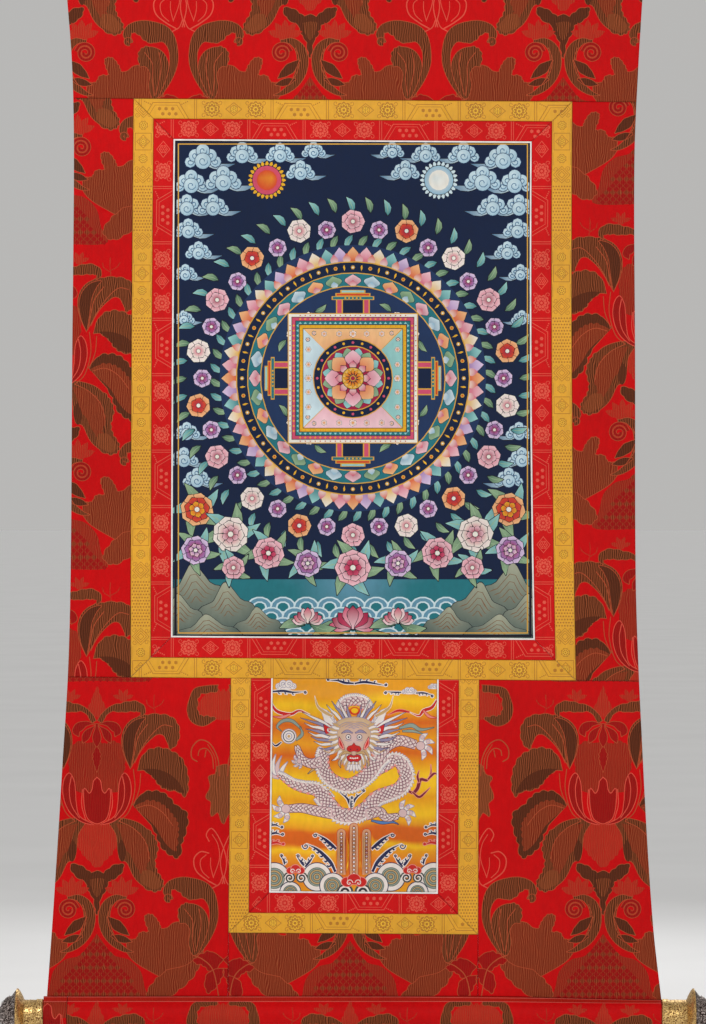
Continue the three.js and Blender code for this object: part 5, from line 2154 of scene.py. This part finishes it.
def make_painting():
    edges = [at_inset(picture, side, PIPING_END) for side in ("left", "right", "top", "bottom")]
    outline = panel_outline(*edges)
    obj = cloth(
        "painted_panel", outline, painting_drawing(), "night", hung, (16, 16), (PAINTED, CANVAS), slack=0.6,
        shortest=1.4,
    )
    size = outline.max(axis=0) - outline.min(axis=0)
    finish_piece(obj, "painting", "painted_cotton", flat=size)


def make_satin():
    left, right, bottom = (at_inset(door, side, PIPING_END) for side in ("left", "right", "bottom"))
    outline = panel_outline(left, right, picture.bottom, bottom)
    size = outline.max(axis=0) - outline.min(axis=0)
    fit = size / [SATIN_WIDTH, SATIN_HEIGHT]
    corner = np.array([(outline[:, 0].min() + outline[:, 0].max()) / 2, outline[:, 1].min()])
    drawing = moved(dragon_drawing(), lambda points: corner + points * fit)
    # The ground's dye is the bands of painted sheen and shade, lowered to the panel's top edge
    ground = SATIN_PAINTED_SHEEN.lowered(corner[1])
    obj = cloth("dragon_satin", outline, drawing, ground, hung, (5, 3), (SATIN, SATIN))
    finish_piece(obj, "door_satin", "gold_satin", flat=size)


make_painting()
make_satin()


# The sleeve round the rod

MID_RADIUS = ROD_RADIUS + SEAM_GAP + CLOTH / 2
FLAP_Y = CLOTH / 2 + SEAM_GAP / 2


def sleeve_section(x):
    """The seam's rise above the rod's axis, the angle where the cloth leaves the rod, the flap's length."""
    rise = ROD_DEPTH - sleeve_seam(x) - SEWN_GAP / 2
    slant = np.hypot(rise, FLAP_Y)
    lean = np.arccos(MID_RADIUS / slant) + np.arctan2(FLAP_Y, rise)
    flap = np.sqrt(slant**2 - MID_RADIUS**2)
    return rise, lean, flap


def around_rod(x, run, out):
    """Places sleeve cloth. run is the way down the front, under the rod and up behind."""
    x = np.asarray(x, float)
    rise, lean, flap = sleeve_section(x)
    arc = MID_RADIUS * (2 * np.pi - 2 * lean)
    length = 2 * flap + arc
    way = np.asarray(run, float) / SLEEVE_RUN * length
    on_front = way < flap
    on_back = way > flap + arc
    angle = np.where(on_front, lean, np.where(on_back, 2 * np.pi - lean, lean + (way - flap) / MID_RADIUS))
    y = -MID_RADIUS * np.sin(angle)
    z = MID_RADIUS * np.cos(angle)
    front_share = np.clip(way / flap, 0, 1)
    back_share = np.clip((length - way) / flap, 0, 1)
    tangent_y = -MID_RADIUS * np.sin(lean)
    tangent_z = MID_RADIUS * np.cos(lean)
    y = np.where(on_front, -FLAP_Y + (tangent_y + FLAP_Y) * front_share, y)
    z = np.where(on_front, rise + (tangent_z - rise) * front_share, z)
    y = np.where(on_back, FLAP_Y + (-tangent_y - FLAP_Y) * back_share, y)
    z = np.where(on_back, rise + (tangent_z - rise) * back_share, z)
    return np.stack([x, y - out * np.sin(angle), z + out * np.cos(angle) - ROD_DEPTH], axis=1)


_, LEAN_AT_MIDDLE, FLAP_AT_MIDDLE = sleeve_section(np.array([0.0]))
SLEEVE_RUN = float(2 * FLAP_AT_MIDDLE[0] + MID_RADIUS * (2 * math.pi - 2 * LEAN_AT_MIDDLE[0]))


def make_sleeve(node, start, end, phase):
    outline = []
    corners = [(start, 0), (start, SLEEVE_RUN), (end, SLEEVE_RUN), (end, 0)]
    for a, b in zip(corners, corners[1:] + corners[:1]):
        count = max(3, int(math.dist(a, b) / 5))
        outline += [[m + (n - m) * k / count for m, n in zip(a, b)] for k in range(count)]
    drawing = damask_on((start, 0, end, SLEEVE_RUN), *phase)
    # Painted shade as a darker band just under the sleeve's folded top edge, and two light lines along it as
    # painted highlights
    drawing.append((box(start - 1, -1, end + 1, 9), "bright band"))
    for run, width in ((1.7, 0.9), (9.6, 1.0)):
        drawing.append((line([(start - 1, run), (end + 1, run)], width, 2), "seam line"))
    materials = (FRONT_DAMASK, BACK_DAMASK)
    obj = cloth(f"{node}_cloth", outline, drawing, "ground red", around_rod, (12, 3.2), materials, roll=1.0)
    finish_piece(obj, node, "red_brocade", flat=(end - start, SLEEVE_RUN))


make_sleeve("roller_sleeve", CUFF_RIGHT + SEAM_GAP / 2, SLEEVE_RIGHT, (-353.0, -446.0))
make_sleeve("roller_cuff", SLEEVE_LEFT, CUFF_RIGHT - SEAM_GAP / 2, (-420.0, -120.0))


# The rod's ends, turned and chased

def chased(name, bright, dark, share, scale):
    """Metal with a dark patina in its worked hollows."""
    finish = Finish(name)
    finish.set(Metallic=1.0)
    mask = finish.ramp(finish.noise(scale, 3), share - 0.05, share + 0.05)
    finish.colour(finish.mix(mask, (*dark, 1), (*bright, 1)))
    finish.rough(finish.ramp(mask, 0.0, 1.0, 0.6, 0.3))
    finish.bump(mask, 0.0002)
    return finish.material


RAISED_BRASS = chased("raised brass", (0.80, 0.58, 0.26), (0.36, 0.17, 0.05), 0.36, 420)
WORKED_BRASS = chased("worked brass", (0.72, 0.48, 0.18), (0.16, 0.06, 0.02), 0.46, 620)
RAISED_SILVER = chased("raised white metal", (0.62, 0.54, 0.50), (0.12, 0.07, 0.05), 0.42, 480)
WORKED_SILVER = chased("worked white metal", (0.40, 0.33, 0.30), (0.03, 0.018, 0.015), 0.52, 560)

ROD_CENTRE = Vector((ROLLER_SHIFT * MM, 0, -ROD_DEPTH * MM))
BORE = 18.3
CAP_PROFILE = [
    # radius, distance out from the rim's plane
    (0.02, -8.4), (18, -8.4), (34.3, 1.1), (33.4, 2.2), (31.5, 3.6), (27, 6.6), (25.6, 9), (25.2, 12.6),
     (22.6, 16.2),
    (17.7, 19.6), (11.8, 23), (7.6, 25.4), (5, 28), (2.6, 29.9), (0.02, 30.5),
]
FERRULE_PROFILE = [
    (22.9, -8.8), (28.2, -6.6), (33.5, -3.6), (36.2, -0.6), (RIM_RADIUS, 0), (36.2, 0.6), (35, 1.0),
     (BORE, -8.6),
]


def nothing_selected():
    bpy.ops.object.select_all(action="DESELECT")


def turned(name, profile, hand, sides=72):
    """A turned shell: a ring is extruded and resized from one step of the profile to the next."""
    nothing_selected()
    radius, out = profile[0]
    start = ROD_CENTRE + Vector((hand * (RIM_PLANE + out) * MM, 0, 0))
    bpy.ops.mesh.primitive_circle_add(
        vertices=sides, radius=radius * MM, location=start, rotation=(0, math.pi / 2, 0)
    )
    shell = bpy.context.object
    shell.name = name
    bpy.ops.object.transform_apply(location=True, rotation=True, scale=True)
    bpy.ops.object.mode_set(mode="EDIT")
    bpy.ops.mesh.select_all(action="SELECT")
    for next_radius, next_out in profile[1:]:
        step = (hand * (next_out - out) * MM, 0, 0)
        bpy.ops.mesh.extrude_region_move(TRANSFORM_OT_translate={"value": step})
        middle = ROD_CENTRE + Vector((hand * (RIM_PLANE + next_out) * MM, 0, 0))
        share = next_radius / radius
        bpy.ops.transform.resize(value=(1, share, share), center_override=middle)
        radius, out = next_radius, next_out
    bpy.ops.mesh.select_all(action="SELECT")
    bpy.ops.mesh.remove_doubles(threshold=0.03 * MM)
    bpy.ops.mesh.normals_make_consistent(inside=False)
    bpy.ops.object.mode_set(mode="OBJECT")
    return shell


def raised_petal():
    """A pointed boss two units long, its tip at +x, drawn out of a ball."""
    nothing_selected()
    bpy.ops.mesh.primitive_uv_sphere_add(segments=12, ring_count=8, radius=1, rotation=(0, math.pi / 2, 0))
    petal = bpy.context.object
    bpy.ops.object.transform_apply(location=True, rotation=True, scale=True)
    for level, share in ((0.3, 0.85), (0.6, 0.62), (0.85, 0.5)):
        for vertex in petal.data.vertices:
            vertex.select = vertex.co.x > level
        bpy.ops.object.mode_set(mode="EDIT")
        bpy.ops.mesh.select_mode(type="VERT")
        bpy.ops.transform.resize(value=(1, share, share), center_override=(1, 0, 0))
        bpy.ops.object.mode_set(mode="OBJECT")
    return petal


def ring_of(master, count, radius, out, size, slope, hand, turn=0.0, twist=0.0):
    """Copies of a boss round the rod, its size half length, half width, height. Angles are in degrees."""
    copies = []
    for k in range(count):
        a = 2 * math.pi * (k + turn) / count
        outward = Vector((0, -math.cos(a), math.sin(a)))
        across = Vector((0, math.sin(a), math.cos(a)))
        lean = math.radians(slope)
        along = Vector((hand, 0, 0)) * math.cos(lean) + outward * math.sin(lean)
        up = along.cross(across)
        spin = math.radians(twist)
        ahead = along * math.cos(spin) + across * math.sin(spin)
        across = across * math.cos(spin) - along * math.sin(spin)
        place = ROD_CENTRE + outward * radius * MM + Vector((hand * (RIM_PLANE + out) * MM, 0, 0))
        axes = [ahead * size[0] * MM, across * size[1] * MM, up * size[2] * MM, place]
        copy = master.copy()
        copy.data = master.data.copy()
        copy.matrix_world = Matrix([[axis[row] for axis in axes] for row in range(3)] + [[0, 0, 0, 1]])
        bpy.context.collection.objects.link(copy)
        copies.append(copy)
    return copies


def joined(shell, bosses, worked, raised):
    """The shell and its bosses as one piece, the hollows darker than what stands up."""
    shell.data.materials.append(worked)
    shell.data.materials.append(raised)
    nothing_selected()
    for boss in bosses:
        boss.data.materials.clear()
        boss.data.materials.append(raised)
        boss.select_set(True)
    shell.select_set(True)
    bpy.context.view_layer.objects.active = shell
    bpy.ops.object.join()
    bpy.ops.object.mode_set(mode="EDIT")
    bpy.ops.mesh.select_all(action="SELECT")
    bpy.ops.mesh.normals_make_consistent(inside=False)
    bpy.ops.object.mode_set(mode="OBJECT")
    bpy.ops.object.shade_smooth_by_angle(angle=math.radians(38))
    return shell


def make_ferrule(side, hand, length, petal):
    inner = [(BORE, -8.6), (BORE, -length), (20.6, -length), (21.7, -length + 1.2), (21.7, -length + 9),
             (20.8, -length + 10.2), (20.8, -10.5)]
    shell = turned(f"ferrule_{side}_chased", inner + FERRULE_PROFILE, hand)
    middle = (-length + 10.2 - 10.5) / 2
    bosses = []
    for out in (-length + 2.4, -length + 7.8):
        bosses += ring_of(petal, 36, 21.7, out, (1.3, 1.3, 0.9), 0, hand)
    bosses += ring_of(petal, 18, 21.6, -length + 5.1, (1.7, 2.6, 0.8), 0, hand)
    reach = min(4.2, (length - 20.7) / 4.4)
    for k in range(5):
        a = math.radians(72 * k)
        turn = reach * math.sin(a) / 20.8 * 8 / (2 * math.pi)
        size = (reach * 0.62, reach * 0.42, 0.9)
        bosses += ring_of(petal, 8, 20.7, middle + reach * math.cos(a), size, 0, hand, turn, 72 * k)
    bosses += ring_of(petal, 8, 20.9, middle, (1.4, 1.4, 1.0), 0, hand)
    for tilt in (-42, 42):
        bosses += ring_of(petal, 8, 20.7, middle + tilt * 0.06, (reach * 1.1, 1.3, 0.7), 0, hand, 0.5, tilt)
    bosses += ring_of(petal, 26, 28.8, -6.1, (5.4, 2.9, 0.9), 62, hand)
    bosses += ring_of(petal, 60, 35.2, -1.9, (1.1, 1.5, 0.6), 62, hand)
    return joined(shell, bosses, WORKED_BRASS, RAISED_BRASS)


def make_knob(side, hand, petal):
    shell = turned(f"knob_{side}_chased", CAP_PROFILE, hand)
    bosses = ring_of(petal, 20, 30.2, 4.4, (4.6, 3.9, 1.0), 128, hand)
    bosses += ring_of(petal, 34, 25.5, 10.8, (1.5, 1.9, 1.0), 90, hand)
    bosses += ring_of(petal, 14, 20.3, 17.7, (6.0, 3.9, 1.1), 145, hand, 0.5)
    bosses += ring_of(petal, 14, 23.0, 15.6, (2.6, 1.7, 1.2), 135, hand)
    bosses += ring_of(petal, 9, 10.4, 23.6, (4.4, 2.9, 0.9), 150, hand)
    return joined(shell, bosses, WORKED_SILVER, RAISED_SILVER)


petal_master = raised_petal()
for side, hand, length in (("left", -1, 36.2), ("right", 1, 44.5)):
    finish_piece(make_ferrule(side, hand, length, petal_master), f"ferrule_{side}", "bright_brass")
    finish_piece(make_knob(side, hand, petal_master), f"knob_{side}", "aged_metal")
bpy.data.objects.remove(petal_master)

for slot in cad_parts["roller_rod"].material_slots:
    slot.material = WOOD


# Light, floor and surroundings

FLOOR_BELOW = -1.58
KEY_FROM = (-1.5, -2.6, 0.9)
KEY_POWER = 52.0
FILL_FROM = (2.2, -2.4, -0.4)
FILL_POWER = 18.0
BACK_FROM = (0.6, 2.6, 0.6)
BACK_POWER = 30.0
WORLD_LIGHT = 0.5
FLOOR_GLOW = 0.10


def area_light(name, place, power, size, aim):
    data = bpy.data.lights.new(name, "AREA")
    data.energy = power
    data.size = size
    light = bpy.data.objects.new(name, data)
    light.location = place
    light.rotation_euler = (Vector(aim) - Vector(place)).to_track_quat("-Z", "Y").to_euler()
    bpy.context.collection.objects.link(light)


def make_studio():
    middle = (0, 0, -0.72)
    area_light("key", KEY_FROM, KEY_POWER, 1.4, middle)
    area_light("fill", FILL_FROM, FILL_POWER, 2.0, middle)
    area_light("behind", BACK_FROM, BACK_POWER, 2.0, middle)
    world = bpy.data.worlds.new("studio")
    world.use_nodes = True
    world.node_tree.nodes["Background"].inputs["Color"].default_value = (0.96, 0.95, 0.93, 1)
    world.node_tree.nodes["Background"].inputs["Strength"].default_value = WORLD_LIGHT
    bpy.context.scene.world = world
    bpy.ops.mesh.primitive_plane_add(size=400, location=(0, 0, FLOOR_BELOW))
    floor = bpy.context.object
    floor.name = "floor"
    paint = Finish("pale floor")
    paint.set(Specular_IOR_Level=0.2)
    tone = paint.ramp(paint.noise(2.0, 2), 0.3, 0.7, 0.78, 0.82)
    paint.colour(grey(paint, tone))
    paint.set(Emission_Color=(1, 1, 1, 1), Emission_Strength=FLOOR_GLOW)
    paint.rough(0.8)
    floor.data.materials.append(paint.material)
    bpy.context.scene.view_settings.view_transform = "Standard"


make_studio()
